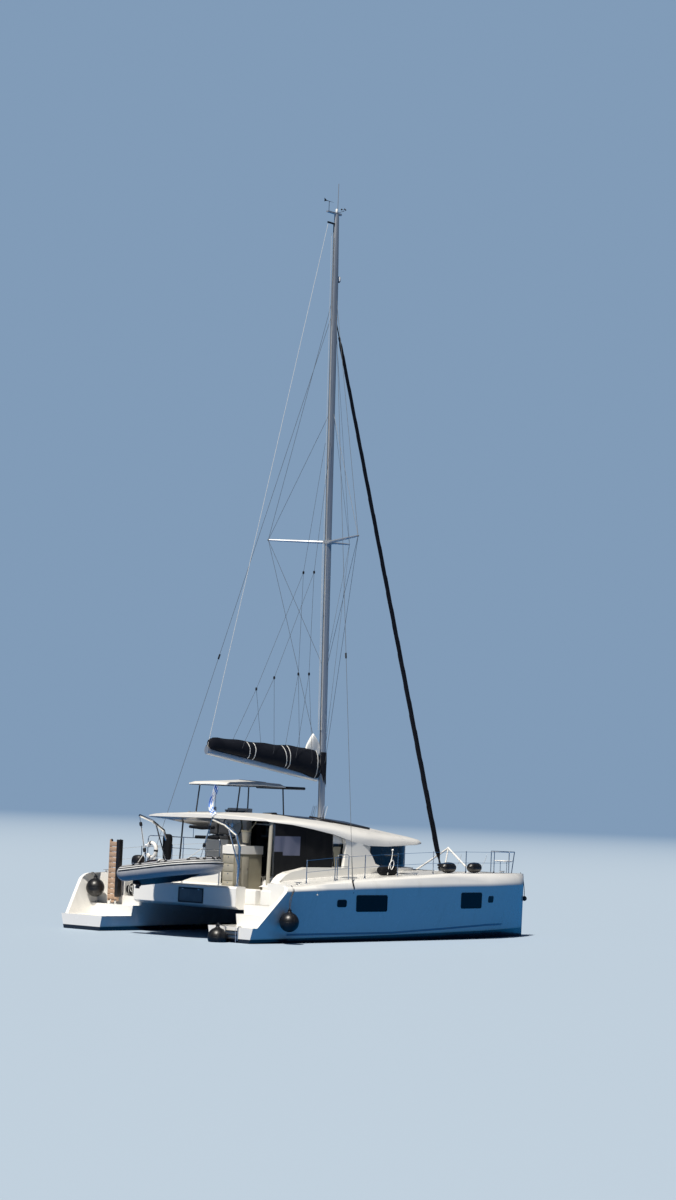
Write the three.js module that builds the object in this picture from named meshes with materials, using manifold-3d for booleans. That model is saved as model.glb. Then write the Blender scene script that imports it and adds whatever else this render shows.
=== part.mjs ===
// A cruising catamaran of about 42 ft, afloat with its sail stowed and its tender on the davits.
// Millimetres, X forward, Y to port, Z up. The origin is on the centreline, amidships, at the waterline.
import * as THREE from 'three';
import { mergeVertices } from 'three/addons/utils/BufferGeometryUtils.js';
import Module from 'manifold-3d';

const wasm = await Module();
wasm.setup();

// Driving dimensions
const GAP = 0.3;
const HULL_OFFSET = 2680;
const HULL_INNER = 800;
const INNER_PLANE = HULL_OFFSET - HULL_INNER;
const PLATFORM_X = -6450;
const DECK_AFT_X = -5350;
const SOLE_Z = 1150;
const BRIDGE_UNDER_Z = 780;
const FOREDECK_Z = 1850;
const COAMING_Z = 1930;
const CABIN_AFT_X = -1900;
const WALL = 60;
const GLASS = 14;
const MAST_X = 210;
const MAST_FOOT_Z = 3170;
const MAST_TOP_Z = 20680;
const MAST_RAKE = THREE.MathUtils.degToRad(1.25);
const SPREADER_Z = 11140;
const SPREADER_LENGTH = 1790;
const SPREADER_SWEEP = THREE.MathUtils.degToRad(22.3);
const JUMPER_LENGTH = 960;
const HOUND_Z = 17730;
const CHAINPLATE = { x: -2840, y: 3785, z: 1560 };
const CROSSBEAM_X = 6000;
const CROSSBEAM_Z = 1700;
const CROSSBEAM_R = 85;
const GOOSENECK = { x: -40, z: 4390 };
const BOOM_END = { x: -4710, z: 4980 };
const RUDDER_X = -5300;
const PROPELLER_X = -4350;
const PROPELLER_Z = -820;
const WHEEL_HUB = { x: -2330, y: 1075, z: 2950 };
const GANGWAY_FOOT = { x: -5200, y: 2800, z: 740 };
const DAVIT_Y = { starboard: -1700, port: 950 };

// Colours and finishes
const FINISH = {
  gelcoat: { color: 0xf2f1ec, roughness: 0.25, metalness: 0 },
  antifoul: { color: 0x14161a, roughness: 0.8, metalness: 0 },
  alloy: { color: 0xb9bdc0, roughness: 0.4, metalness: 0.9 },
  steel: { color: 0xc9ccce, roughness: 0.2, metalness: 1 },
  bronze: { color: 0x9a7a4a, roughness: 0.4, metalness: 0.9 },
  darkGlass: { color: 0x11161d, roughness: 0.08, metalness: 0 },
  canvas: { color: 0x1b2233, roughness: 0.9, metalness: 0 },
  beige: { color: 0x9b9484, roughness: 0.85, metalness: 0 },
  netting: { color: 0xd8d8d4, roughness: 0.9, metalness: 0 },
  rubber: { color: 0x111214, roughness: 0.45, metalness: 0 },
  tenderGrey: { color: 0x9fa4a9, roughness: 0.6, metalness: 0 },
  teak: { color: 0xc49a6c, roughness: 0.7, metalness: 0 },
};

// Joining and cutting of closed geometries

function solidOf(geometry) {
  const bare = geometry.clone();
  bare.deleteAttribute('normal');
  bare.deleteAttribute('uv');
  const merged = mergeVertices(bare, 1e-3);
  return new wasm.Manifold(new wasm.Mesh({
    numProp: 3,
    vertProperties: new Float32Array(merged.attributes.position.array),
    triVerts: new Uint32Array(merged.index.array),
  }));
}

function geometryOf(solid) {
  const mesh = solid.getMesh();
  const geometry = new THREE.BufferGeometry();
  geometry.setAttribute('position', new THREE.BufferAttribute(new Float32Array(mesh.vertProperties), 3));
  geometry.setIndex(new THREE.BufferAttribute(new Uint32Array(mesh.triVerts), 1));
  return geometry;
}

function join(...parts) {
  return geometryOf(parts.map(solidOf).reduce((sum, next) => sum.add(next)));
}

function cut(body, ...tools) {
  return geometryOf(tools.map(solidOf).reduce((rest, tool) => rest.subtract(tool), solidOf(body)));
}

function common(a, b) {
  return geometryOf(solidOf(a).intersect(solidOf(b)));
}

function moved(geometry, x, y, z) {
  return geometry.clone().translate(x, y, z);
}

// The same shape on the other side of the centreline, with its faces still pointing out.
function mirrored(geometry) {
  const copy = geometry.index ? geometry.toNonIndexed() : geometry.clone();
  const p = copy.attributes.position;
  for (let i = 0; i < p.count; i += 3) {
    const corners = [0, 2, 1].map((k) => [p.getX(i + k), -p.getY(i + k), p.getZ(i + k)]);
    corners.forEach((c, k) => p.setXYZ(i + k, ...c));
  }
  return copy;
}

// Simple shapes

function box(x0, x1, y0, y1, z0, z1) {
  const shape = new THREE.BoxGeometry(x1 - x0, y1 - y0, z1 - z0);
  return shape.translate((x0 + x1) / 2, (y0 + y1) / 2, (z0 + z1) / 2);
}

function rod(a, b, radius, sides = 8, endRadius = radius) {
  const from = new THREE.Vector3(...a);
  const to = new THREE.Vector3(...b);
  const shape = new THREE.CylinderGeometry(endRadius, radius, from.distanceTo(to), sides);
  const turn = new THREE.Quaternion().setFromUnitVectors(
    new THREE.Vector3(0, 1, 0),
    to.clone().sub(from).normalize(),
  );
  shape.applyQuaternion(turn);
  return shape.translate((a[0] + b[0]) / 2, (a[1] + b[1]) / 2, (a[2] + b[2]) / 2);
}

// A bent tube made of rods with round corners.
function pipe(points, radius, sides = 8) {
  const runs = points.slice(1).map((p, i) => rod(points[i], p, radius, sides));
  const corners = points.slice(1, -1).map(([x, y, z]) => ball(x, y, z, radius * 1.02, sides, 4));
  return join(...runs, ...corners);
}

function ball(x, y, z, radius, around = 16, down = 10) {
  return new THREE.SphereGeometry(radius, around, down).translate(x, y, z);
}

// An outline in the XZ plane, given thickness across from y0 to y1.
function sideProfile(points, y0, y1) {
  const shape = new THREE.Shape(points.map(([x, z]) => new THREE.Vector2(x, z)));
  const body = new THREE.ExtrudeGeometry(shape, { depth: y1 - y0, bevelEnabled: false });
  return body.rotateX(Math.PI / 2).translate(0, y1, 0);
}

// An outline in the XY plane, raised from z0 to z1.
function plan(points, z0, z1, holes = []) {
  const shape = new THREE.Shape(points.map(([x, y]) => new THREE.Vector2(x, y)));
  for (const hole of holes) {
    shape.holes.push(new THREE.Path(hole.map(([x, y]) => new THREE.Vector2(x, y))));
  }
  return new THREE.ExtrudeGeometry(shape, { depth: z1 - z0, bevelEnabled: false }).translate(0, 0, z0);
}

// A closed body through rings of equal count, with its two end rings filled in.
// across names the two coordinates in which the end rings are flat: 1, 2 for rings across the boat.
function loft(rings, across = [1, 2]) {
  const count = rings[0].length;
  const positions = rings.flat(2);
  const faces = [];
  for (let r = 0; r + 1 < rings.length; r += 1) {
    for (let i = 0; i < count; i += 1) {
      const j = (i + 1) % count;
      const [a, b, c, d] = [r * count + i, r * count + j, (r + 1) * count + j, (r + 1) * count + i];
      faces.push(a, b, c, a, c, d);
    }
  }
  const [u, v] = across;
  const fill = (ring, base, forward) => {
    const outline = ring.map((p) => new THREE.Vector2(p[u], p[v]));
    const turn = Math.sign(THREE.ShapeUtils.area(outline));
    for (const [a, b, c] of THREE.ShapeUtils.triangulateShape(outline, [])) {
      const along = Math.sign(THREE.ShapeUtils.area([outline[a], outline[b], outline[c]])) === turn;
      faces.push(...(along === forward ? [base + a, base + b, base + c] : [base + a, base + c, base + b]));
    }
  };
  fill(rings[0], 0, false);
  fill(rings[rings.length - 1], (rings.length - 1) * count, true);
  const geometry = new THREE.BufferGeometry();
  geometry.setAttribute('position', new THREE.Float32BufferAttribute(positions, 3));
  geometry.setIndex(faces);
  return facingOut(geometry);
}

function facingOut(geometry) {
  const p = geometry.attributes.position;
  const index = geometry.index.array;
  const corner = (k) => new THREE.Vector3().fromBufferAttribute(p, index[k]);
  let volume = 0;
  for (let k = 0; k < index.length; k += 3) {
    volume += corner(k).dot(corner(k + 1).cross(corner(k + 2)));
  }
  if (volume < 0) {
    for (let k = 0; k < index.length; k += 3) {
      [index[k + 1], index[k + 2]] = [index[k + 2], index[k + 1]];
    }
  }
  return geometry;
}

// Hulls
// x: station, keel: lowest point, outWater and inWater: half widths at the waterline,
// outKnuckle and inDeck: half widths above it, knuckle and deck: heights.
const STATIONS = [
  {
    x: 6400, keel: -150, outWater: 20, outKnuckle: 42,
    inWater: 20, inDeck: 42, knuckle: 1480, deck: 1830,
  },
  {
    x: 6200, keel: -350, outWater: 75, outKnuckle: 170,
    inWater: 75, inDeck: 150, knuckle: 1475, deck: 1838,
  },
  {
    x: 5600, keel: -480, outWater: 220, outKnuckle: 470,
    inWater: 220, inDeck: 350, knuckle: 1470, deck: 1845,
  },
  {
    x: 4600, keel: -560, outWater: 420, outKnuckle: 790,
    inWater: 400, inDeck: 610, knuckle: 1465, deck: 1850,
  },
  {
    x: 3450, keel: -600, outWater: 590, outKnuckle: 1030,
    inWater: 550, inDeck: 800, knuckle: 1460, deck: 1852,
  },
  {
    x: 1500, keel: -620, outWater: 720, outKnuckle: 1150,
    inWater: 650, inDeck: 800, knuckle: 1450, deck: 1850,
  },
  {
    x: -500, keel: -620, outWater: 770, outKnuckle: 1170,
    inWater: 680, inDeck: 800, knuckle: 1425, deck: 1772,
  },
  {
    x: -2500, keel: -580, outWater: 790, outKnuckle: 1170,
    inWater: 690, inDeck: 800, knuckle: 1390, deck: 1682,
  },
  {
    x: -3900, keel: -500, outWater: 790, outKnuckle: 1170,
    inWater: 690, inDeck: 800, knuckle: 1370, deck: 1600,
  },
  {
    x: -4900, keel: -400, outWater: 780, outKnuckle: 1160,
    inWater: 680, inDeck: 800, knuckle: 1345, deck: 1512,
  },
  {
    x: -5700, keel: -270, outWater: 760, outKnuckle: 1140,
    inWater: 670, inDeck: 800, knuckle: 1325, deck: 1480,
  },
  {
    x: PLATFORM_X, keel: -150, outWater: 720, outKnuckle: 1100,
    inWater: 650, inDeck: 800, knuckle: 1310, deck: 1460,
  },
];
const UNDERWATER_STEPS = 4;

function between(x, name) {
  const i = Math.max(1, STATIONS.findIndex((s) => s.x <= x));
  const [a, b] = [STATIONS[i - 1], STATIONS[i]];
  return THREE.MathUtils.mapLinear(x, a.x, b.x, a[name], b[name]);
}

// One ring of the starboard hull, from the keel up the outer side and down the inner side.
function hullRing(s) {
  const round = (half, t) => [half * Math.sin(t) ** 0.8, s.keel * Math.cos(t) ** 0.9];
  const turns = [...Array(UNDERWATER_STEPS)].map((_, i) => ((i + 1) * Math.PI) / 2 / UNDERWATER_STEPS);
  const shoulder = Math.min(1, s.outKnuckle / 400);
  const crown = Math.min(1, s.inDeck / 400);
  const outer = turns.map((t) => round(s.outWater, t));
  const inner = turns.map((t) => round(s.inWater, t)).reverse();
  const ring = [
    [0, s.keel],
    ...outer,
    [s.outKnuckle, s.knuckle],
    [s.outKnuckle - 15 * shoulder, s.knuckle + 0.35 * (s.deck - s.knuckle)],
    [s.outKnuckle - 70 * shoulder, s.knuckle + 0.75 * (s.deck - s.knuckle)],
    [s.outKnuckle - 190 * shoulder, s.deck],
    [-s.inDeck + 60 * crown, s.deck],
    [-s.inDeck, s.deck - 60],
    [-s.inDeck, BRIDGE_UNDER_Z],
    ...inner.map(([y, z]) => [-y, z]),
  ];
  return ring.map(([y, z]) => [s.x, -HULL_OFFSET - y, z]);
}

// The bathing platform, then two treads up to the cockpit's sole
const PLATFORM_Z = 400;
const TREADS = [680, 920];
const RAKED_END = [[-6650, PLATFORM_Z], [-6290, PLATFORM_Z], [-5380, 1530], [-5300, 2300], [-6650, 2300]];
const STEPS = [
  [-6650, PLATFORM_Z], [-5330, PLATFORM_Z], [-5330, TREADS[0]], [-5010, TREADS[0]], [-5010, TREADS[1]],
  [-4700, TREADS[1]], [-4700, SOLE_Z], [-4300, SOLE_Z], [-4300, 2300], [-6650, 2300],
];
const BULWARK_THICKNESS = 110;
const PASSAGE_OUTER_Y = 2620;

function hullBody() {
  const body = loft(STATIONS.map(hullRing));
  const rake = sideProfile(RAKED_END, -4200, -1500);
  const stairs = sideProfile(STEPS, -PASSAGE_OUTER_Y, -1500);
  // The bulwark outboard of the steps follows the flare of the hull's side
  const insideSkin = join(moved(body, 0, BULWARK_THICKNESS, 0), moved(body, 0, BULWARK_THICKNESS, 10));
  const wideStairs = common(
    common(sideProfile(STEPS, -4200, -1500), box(-6700, -4950, -4200, -1500, 0, 2400)), insideSkin,
  );
  const stockHole = rod([RUDDER_X, -HULL_OFFSET, -700], [RUDDER_X, -HULL_OFFSET, 150], 31, 16);
  return cut(body, rake, stairs, wideStairs, stockHole);
}

const hull = hullBody();
const hullPort = mirrored(hull);

function keelFin() {
  const ring = (z, front, back, half) => {
    const mid = front - 0.35 * (front - back);
    return [
      [front, 0], [front - 0.06 * (front - back), 0.55 * half], [mid, half],
      [back + 60, 0.25 * half], [back, 0],
      [back + 60, -0.25 * half], [mid, -half], [front - 0.06 * (front - back), -0.55 * half],
    ].map(([x, y]) => [x, y - HULL_OFFSET, z]);
  };
  const fin = loft(
    [ring(-1250, 1350, -1250, 110), ring(-1180, 1420, -1300, 150), ring(-400, 1700, -1450, 190)], [0, 1],
  );
  return cut(fin, moved(hull, 0, 0, -GAP));
}

function rudder() {
  const ring = (z, front, back, half) => [
    [front, 0], [front - 90, half], [back, 6], [back, -6], [front - 90, -half],
  ].map(([x, y]) => [RUDDER_X + x, y - HULL_OFFSET, z]);
  const blade = loft([ring(-1150, 90, -300, 22), ring(-430, 160, -420, 34)], [0, 1]);
  const stock = rod([RUDDER_X, -HULL_OFFSET, -900], [RUDDER_X, -HULL_OFFSET, 149], 30, 16);
  return join(blade, stock);
}

function saildrive() {
  const ring = (z, front, back, half) => [
    [front, 0], [front - 60, half], [back, 10], [back, -10], [front - 60, -half],
  ].map(([x, y]) => [PROPELLER_X + x, y - HULL_OFFSET, z]);
  const leg = loft([ring(PROPELLER_Z, 330, 90, 36), ring(-380, 380, 70, 48)], [0, 1]);
  const pod = rod(
    [PROPELLER_X + 60, -HULL_OFFSET, PROPELLER_Z], [PROPELLER_X + 400, -HULL_OFFSET, PROPELLER_Z], 62, 12, 30,
  );
  const shaft = rod(
    [PROPELLER_X - 70, -HULL_OFFSET, PROPELLER_Z], [PROPELLER_X + 80, -HULL_OFFSET, PROPELLER_Z], 16, 12,
  );
  return cut(join(leg, pod, shaft), moved(hull, 0, 0, -GAP));
}

const BLADE_COUNT = 3;

function propeller() {
  const hub = new THREE.LatheGeometry([
    [17, -55], [48, -50], [58, 45], [17, 50], [17, -55],
  ].map(([r, h]) => new THREE.Vector2(r, h)), 18);
  hub.rotateZ(-Math.PI / 2);
  const blades = [...Array(BLADE_COUNT)].map((_, i) => {
    const outline = new THREE.Shape();
    outline.moveTo(-28, 40);
    outline.lineTo(28, 40);
    outline.bezierCurveTo(90, 120, 80, 225, 0, 232);
    outline.bezierCurveTo(-80, 225, -80, 120, -28, 40);
    const blade = new THREE.ExtrudeGeometry(outline, { depth: 8, bevelEnabled: false, curveSegments: 5 });
    blade.translate(0, 0, -4);
    blade.rotateY(Math.PI / 2 - 0.55);
    blade.rotateX((i * 2 * Math.PI) / BLADE_COUNT);
    return blade;
  });
  return join(hub, ...blades).translate(PROPELLER_X, -HULL_OFFSET, PROPELLER_Z);
}

// Bridgedeck: the floor between the hulls, with the aft beam and the foredeck
const BRIDGE_PROFILE = [
  [DECK_AFT_X, 860], [-5200, BRIDGE_UNDER_Z], [2300, BRIDGE_UNDER_Z], [2850, 930], [3250, 1230],
  [3420, 1560], [3450, FOREDECK_Z], [2350, FOREDECK_Z], [2350, SOLE_Z], [-4950, SOLE_Z], [-4980, 1380],
  [DECK_AFT_X + 40, 1380], [DECK_AFT_X, 1330],
];
const LOCKER = {
  y0: -720, y1: 210, z0: 870, z1: 1290, lidThick: 15, inset: 2, rim: 35, depth: 200, clear: 8,
};
const rebateX = DECK_AFT_X + LOCKER.inset + LOCKER.lidThick + GAP;

function lockerHole(x1, shrink) {
  return box(
    DECK_AFT_X - 50, x1, LOCKER.y0 + shrink, LOCKER.y1 - shrink, LOCKER.z0 + shrink, LOCKER.z1 - shrink,
  );
}

const bridgedeck = cut(
  sideProfile(BRIDGE_PROFILE, -INNER_PLANE + GAP, INNER_PLANE - GAP),
  lockerHole(rebateX, 0), lockerHole(DECK_AFT_X + LOCKER.depth, LOCKER.rim),
);
const lockerLid = common(
  lockerHole(rebateX - GAP, LOCKER.clear), box(DECK_AFT_X + LOCKER.inset, 0, -2000, 2000, 0, 3000),
);

// Everything that the deckhouse stands on, without the thin slots beside the hulls
const deckKnife = join(hull, hullPort, sideProfile(BRIDGE_PROFILE, -INNER_PLANE - 2, INNER_PLANE + 2));

// Deckhouse outline on the starboard side: x, y of the outer face, from aft to the bow
const HOUSE = [[-400, -2150], [700, -1930], [1800, -1660], [2400, -1350], [2720, -820], [2800, 0]];
const COAMING_PROUD = 190;
const COAMING_AFT_X = -4950;

function houseOutline(aftX, aftY, inset) {
  const side = [[aftX, aftY], ...HOUSE];
  const shrink = ([x, y]) => [x - (x > 1000 ? inset : inset * 0.2), Math.min(0, y + inset)];
  const right = side.map(shrink);
  right[0] = [aftX, aftY + inset];
  const left = right.slice(0, -1).map(([x, y]) => [x, -y]).reverse();
  return [...right, ...left];
}

function ringBetween(outer, inner, aftX, z0, z1) {
  const block = cut(plan(outer, z0, z1), plan(inner, z0 - 10, z1 + 10));
  return cut(block, box(aftX - 500, aftX + 1, -4000, 4000, z0 - 20, z1 + 20));
}

const COAMING_AFT_Y = -2230 - COAMING_PROUD;
const coamingOuter = houseOutline(COAMING_AFT_X, COAMING_AFT_Y, -COAMING_PROUD);
const coamingInner = houseOutline(COAMING_AFT_X - 100, -2230, WALL);
const coamingSlope = sideProfile([
  [-5300, 1400], [-4780, 1400], [-4640, 1440], [-4420, 1560], [-4180, 1720], [-3950, 1800],
  [-3500, 1870], [-3150, COAMING_Z + 5], [-3150, 2200], [-5300, 2200],
], -4000, 4000);
const coaming = cut(
  ringBetween(coamingOuter, coamingInner, COAMING_AFT_X, 1400, COAMING_Z),
  moved(deckKnife, 0, 0, GAP),
  coamingSlope,
);

// Hardtop and coachroof in one shell
// x: section, half: half width, edge: height of the lower edge, shoulder and top: heights of the skin.
const ROOF = [
  { x: -4560, half: 2200, edge: 3130, shoulder: 3190, top: 3250 },
  { x: -4450, half: 2260, edge: 3110, shoulder: 3210, top: 3290 },
  { x: -3700, half: 2340, edge: 3060, shoulder: 3210, top: 3320 },
  { x: -2900, half: 2370, edge: 2960, shoulder: 3180, top: 3330 },
  { x: -2000, half: 2380, edge: 2830, shoulder: 3120, top: 3320 },
  { x: -1250, half: 2370, edge: 2660, shoulder: 3040, top: 3290 },
  { x: -400, half: 2300, edge: 2540, shoulder: 2960, top: 3240 },
  { x: 700, half: 2080, edge: 2530, shoulder: 2880, top: 3150 },
  { x: 1800, half: 1820, edge: 2560, shoulder: 2820, top: 3020 },
  { x: 2700, half: 1550, edge: 2580, shoulder: 2770, top: 2910 },
  { x: 3300, half: 1250, edge: 2610, shoulder: 2730, top: 2820 },
  { x: 3600, half: 850, edge: 2640, shoulder: 2700, top: 2760 },
];
const ROOF_THICK = 95;

function roofUpper(s) {
  return [
    [s.half, s.edge], [s.half - 10, s.edge + 0.35 * (s.shoulder - s.edge)],
    [s.half - 70, s.edge + 0.7 * (s.shoulder - s.edge)], [s.half * 0.9, s.shoulder - 5],
    [s.half * 0.78, s.shoulder + 0.25 * (s.top - s.shoulder)],
    [s.half * 0.4, s.shoulder + 0.8 * (s.top - s.shoulder)], [0, s.top],
  ];
}

function roofUnder(s) {
  const drop = (z) => Math.max(s.edge + 6, z - ROOF_THICK);
  return [
    [0, drop(s.top)], [s.half * 0.4, drop(s.shoulder + 0.8 * (s.top - s.shoulder))],
    [s.half * 0.78, drop(s.shoulder)], [s.half * 0.88, drop(s.shoulder - 40)], [s.half - 90, s.edge + 6],
  ];
}

function bothSides(half) {
  const right = half.map(([y, z]) => [-y, z]);
  const left = half.filter(([y]) => y > 0).reverse();
  return [...right, ...left];
}

function roofShell() {
  const ring = (s) => {
    const upper = bothSides(roofUpper(s));
    const under = bothSides(roofUnder(s).reverse()).reverse();
    return [...upper, ...under].map(([y, z]) => [s.x, y, z]);
  };
  return loft(ROOF.map(ring));
}

// The room above the underside of the roof, out past its edge, lowered by the seating gap.
function roofKnife() {
  const ring = (s) => {
    const under = bothSides(roofUnder(s).reverse()).map(([y, z]) => [s.x, y, z - GAP]);
    const edgeZ = s.edge - GAP;
    return [
      [s.x, -4000, 5000], [s.x, -4000, edgeZ], [s.x, -s.half, edgeZ], ...under,
      [s.x, s.half, edgeZ], [s.x, 4000, edgeZ], [s.x, 4000, 5000],
    ].reverse();
  };
  return loft(ROOF.map(ring));
}

const HELM_WELL = { x0: -3350, x1: CABIN_AFT_X - 20, y0: 560, y1: 1980 };
const helmWell = box(HELM_WELL.x0, HELM_WELL.x1, HELM_WELL.y0, HELM_WELL.y1, 2500, 4000);
const underRoof = roofKnife();
const hardtop = cut(roofShell(), helmWell);

// Deckhouse walls, cut out for their windows
const wallOuter = houseOutline(CABIN_AFT_X, -2230, 0);
const wallInner = coamingInner;
const wallRing = cut(ringBetween(wallOuter, wallInner, CABIN_AFT_X, COAMING_Z + GAP, 3600), underRoof);
const FRONT_CORNER_X = 2150;
const SILL_Z = 1985;
const SIDE_WINDOWS = [[-1780, -980], [60, 1010], [1110, 2060]];
const FRONT_WINDOWS = [[-1230, -440], [-370, 370], [440, 1230]];
const HEAD_Z = { forward: 2515, aft: 2560 };
const sideHoles = SIDE_WINDOWS.flatMap(([x0, x1]) => {
  const head = x0 < -500 ? HEAD_Z.aft : HEAD_Z.forward;
  return [box(x0, x1, -2600, -1400, SILL_Z, head), box(x0, x1, 1400, 2600, SILL_Z, head)];
});
const frontHoles = FRONT_WINDOWS.map(([y0, y1]) => box(2300, 3400, y0, y1, SILL_Z, HEAD_Z.forward));
const aftOfCorner = box(-3000, FRONT_CORNER_X - GAP, -3000, 3000, 1900, 4000);
const foreOfCorner = box(FRONT_CORNER_X, 4000, -3000, 3000, 1900, 4000);
const HALVES = {
  starboard: box(-3000, 4000, -3000, -500, 1900, 4000),
  port: box(-3000, 4000, 500, 3000, 1900, 4000),
};
const saloonSide = (side) => cut(common(common(wallRing, aftOfCorner), HALVES[side]), ...sideHoles);
const saloonFront = cut(common(wallRing, foreOfCorner), ...frontHoles);

// Glazing: dark bands bonded to the outside of the walls, over the openings
const GLAZING = { z0: 1955, z1: 2570, aftX0: -1860, aftX1: -1000, frontX0: -60 };
const glassRing = cut(
  ringBetween(
    houseOutline(CABIN_AFT_X, -2230, -(GAP + GLASS)), houseOutline(CABIN_AFT_X, -2230, -GAP),
    CABIN_AFT_X, GLAZING.z0, GLAZING.z1,
  ),
  underRoof,
);
const glassAft = (side) => common(
  common(glassRing, box(GLAZING.aftX0, GLAZING.aftX1, -3000, 3000, 1900, 3000)), HALVES[side],
);
const glassFront = common(glassRing, box(GLAZING.frontX0, 4000, -3000, 3000, 1900, 3000));

// White wing that fairs the roof's edge into the coaming, x and z of its outline
const WING = [
  [-1500, COAMING_Z + GAP], [-60, COAMING_Z + GAP], [120, 1985], [-130, 2050], [-280, 2260], [-460, 2420],
  [-700, 2560], [-760, 2800], [-1500, 2800], [-1440, 2560],
];
const WING_Y = [2245, 2345];
const sideWing = cut(sideProfile(WING, -WING_Y[1], -WING_Y[0]), underRoof);
const sideWingPort = cut(sideProfile(WING, WING_Y[0], WING_Y[1]), underRoof);

// Saloon's aft bulkhead, its door opening and the sliding door in front of it
const BULKHEAD = { x0: CABIN_AFT_X + 2, x1: CABIN_AFT_X + 52 };
const DOOR = { y0: -1150, y1: -150, z0: SOLE_Z + 30, z1: 2960, lap: 40, travel: 900 };
const insideWalls = plan(houseOutline(COAMING_AFT_X - 100, -2230, WALL + GAP), 1000, 3700);
const bulkhead = cut(
  common(box(BULKHEAD.x0, BULKHEAD.x1, -2300, 2300, SOLE_Z, 3600), insideWalls),
  moved(deckKnife, 0, 0, GAP), underRoof,
  box(-3000, 0, DOOR.y0, DOOR.y1, DOOR.z0, DOOR.z1),
);
const doorLeaf = box(
  BULKHEAD.x0 - 45, BULKHEAD.x0 - 10, DOOR.y0 - DOOR.lap, DOOR.y1 + DOOR.lap,
  DOOR.z0 - 15, DOOR.z1 + DOOR.lap,
);
const doorLight = box(-3000, 0, DOOR.y0 + 60, DOOR.y1 - 60, DOOR.z0 + 80, DOOR.z1 - 50);
const doorPane = box(
  BULKHEAD.x0 - 33, BULKHEAD.x0 - 21, DOOR.y0 + 55, DOOR.y1 - 55, DOOR.z0 + 75, DOOR.z1 - 45,
);
const slidingDoor = join(cut(doorLeaf, doorLight), doorPane);
// The door's rails run behind its top and foot, far enough for its whole travel
const railRun = [DOOR.y0 - DOOR.lap - 30, DOOR.y1 + DOOR.lap + DOOR.travel];
const railX = [BULKHEAD.x0 - 55, BULKHEAD.x0 - GAP];
const doorRails = join(
  box(...railX, ...railRun, SOLE_Z + GAP, DOOR.z0 - 15 - GAP),
  box(...railX, ...railRun, DOOR.z1 + DOOR.lap + GAP, DOOR.z1 + DOOR.lap + 30),
  box(...railX, railRun[0], railRun[0] + 24, SOLE_Z + GAP, DOOR.z1 + DOOR.lap + 30),
);

// The stout starboard pillar and the slim port one that carry the hardtop over the cockpit
const POST = { foot: [-4590, -2310, 1430], head: [-4380, -2180, 3250], radius: 52 };
const PORT_POST = { foot: [-3150, 2290, 1850], head: [-3120, 2230, 3250], radius: 24 };
const hardtopPost = cut(rod(POST.foot, POST.head, POST.radius, 8), moved(coaming, 0, 0, GAP), underRoof);
const hardtopPostPort = cut(
  rod(PORT_POST.foot, PORT_POST.head, PORT_POST.radius, 12), moved(coaming, 0, 0, GAP), underRoof,
);

// Canvas curtain that shuts the cockpit's starboard side, from the coaming up to the roof's edge
const CURTAIN = { x0: -4315, x1: CABIN_AFT_X - 15, y: -2250, thick: 12 };
const cockpitCurtain = cut(
  box(CURTAIN.x0, CURTAIN.x1, CURTAIN.y - CURTAIN.thick, CURTAIN.y, 1500, 3400),
  moved(coaming, 0, 0, GAP), moved(deckKnife, 0, 0, 3 * GAP), underRoof,
);

// Cockpit: the bench across the stern, the tall locker in the corner, and the table
const cockpitBench = join(
  box(-4940, -4400, -940, 1800, SOLE_Z + GAP, 1560),
  box(-4940, -4800, -940, 1800, 1500, 2000),
  box(-4940, -3300, 1350, 1800, SOLE_Z + GAP, 1560),
);
const cockpitLocker = join(
  box(-4900, -3800, -1370, -960, SOLE_Z + GAP, 2260),
  box(-4920, -3780, -1390, -945, 2230, 2450),
);
const TABLE = { x: -3150, y: -600, z: 1640, length: 1240, width: 800, thick: 40, legs: [-880, -320] };
const tableLegs = TABLE.legs.flatMap((y) => [
  rod([TABLE.x, y, SOLE_Z + GAP], [TABLE.x, y, TABLE.z - 10], 40, 12),
  rod([TABLE.x, y, SOLE_Z + GAP], [TABLE.x, y, SOLE_Z + 25], 120, 16),
]);
const [halfLength, halfWidth] = [TABLE.length / 2, TABLE.width / 2];
const cockpitTable = join(
  box(
    TABLE.x - halfLength, TABLE.x + halfLength, TABLE.y - halfWidth, TABLE.y + halfWidth,
    TABLE.z - TABLE.thick, TABLE.z,
  ),
  ...tableLegs,
);

// Helm station on the port side, standing up through the hardtop
const HELM_FLOOR_Z = 2080;
const HELM_Y = [650, 1500];
const HELM_AFT_X = -2960;
const CONSOLE = { x0: -2220, x1: -2010, top: 3380 };
const helmStation = join(
  box(HELM_AFT_X, CONSOLE.x1, ...HELM_Y, SOLE_Z + GAP, HELM_FLOOR_Z),
  box(CONSOLE.x0, CONSOLE.x1, ...HELM_Y, HELM_FLOOR_Z - 10, CONSOLE.top - 60),
  sideProfile([[-2290, 3200], [-2010, 3200], [-2010, 3440], [-2080, 3440]], ...HELM_Y),
  box(HELM_AFT_X, HELM_AFT_X + 300, ...HELM_Y, HELM_FLOOR_Z - 10, 2560),
);
const helmSeat = join(
  box(HELM_AFT_X + 10, HELM_AFT_X + 330, HELM_Y[0] + 20, HELM_Y[1] - 20, 2560 + GAP, 2660),
  box(HELM_AFT_X, HELM_AFT_X + 80, HELM_Y[0] + 20, HELM_Y[1] - 20, 2640, 3040),
);
const WHEEL_R = 340;
const SPOKES = 5;

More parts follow.
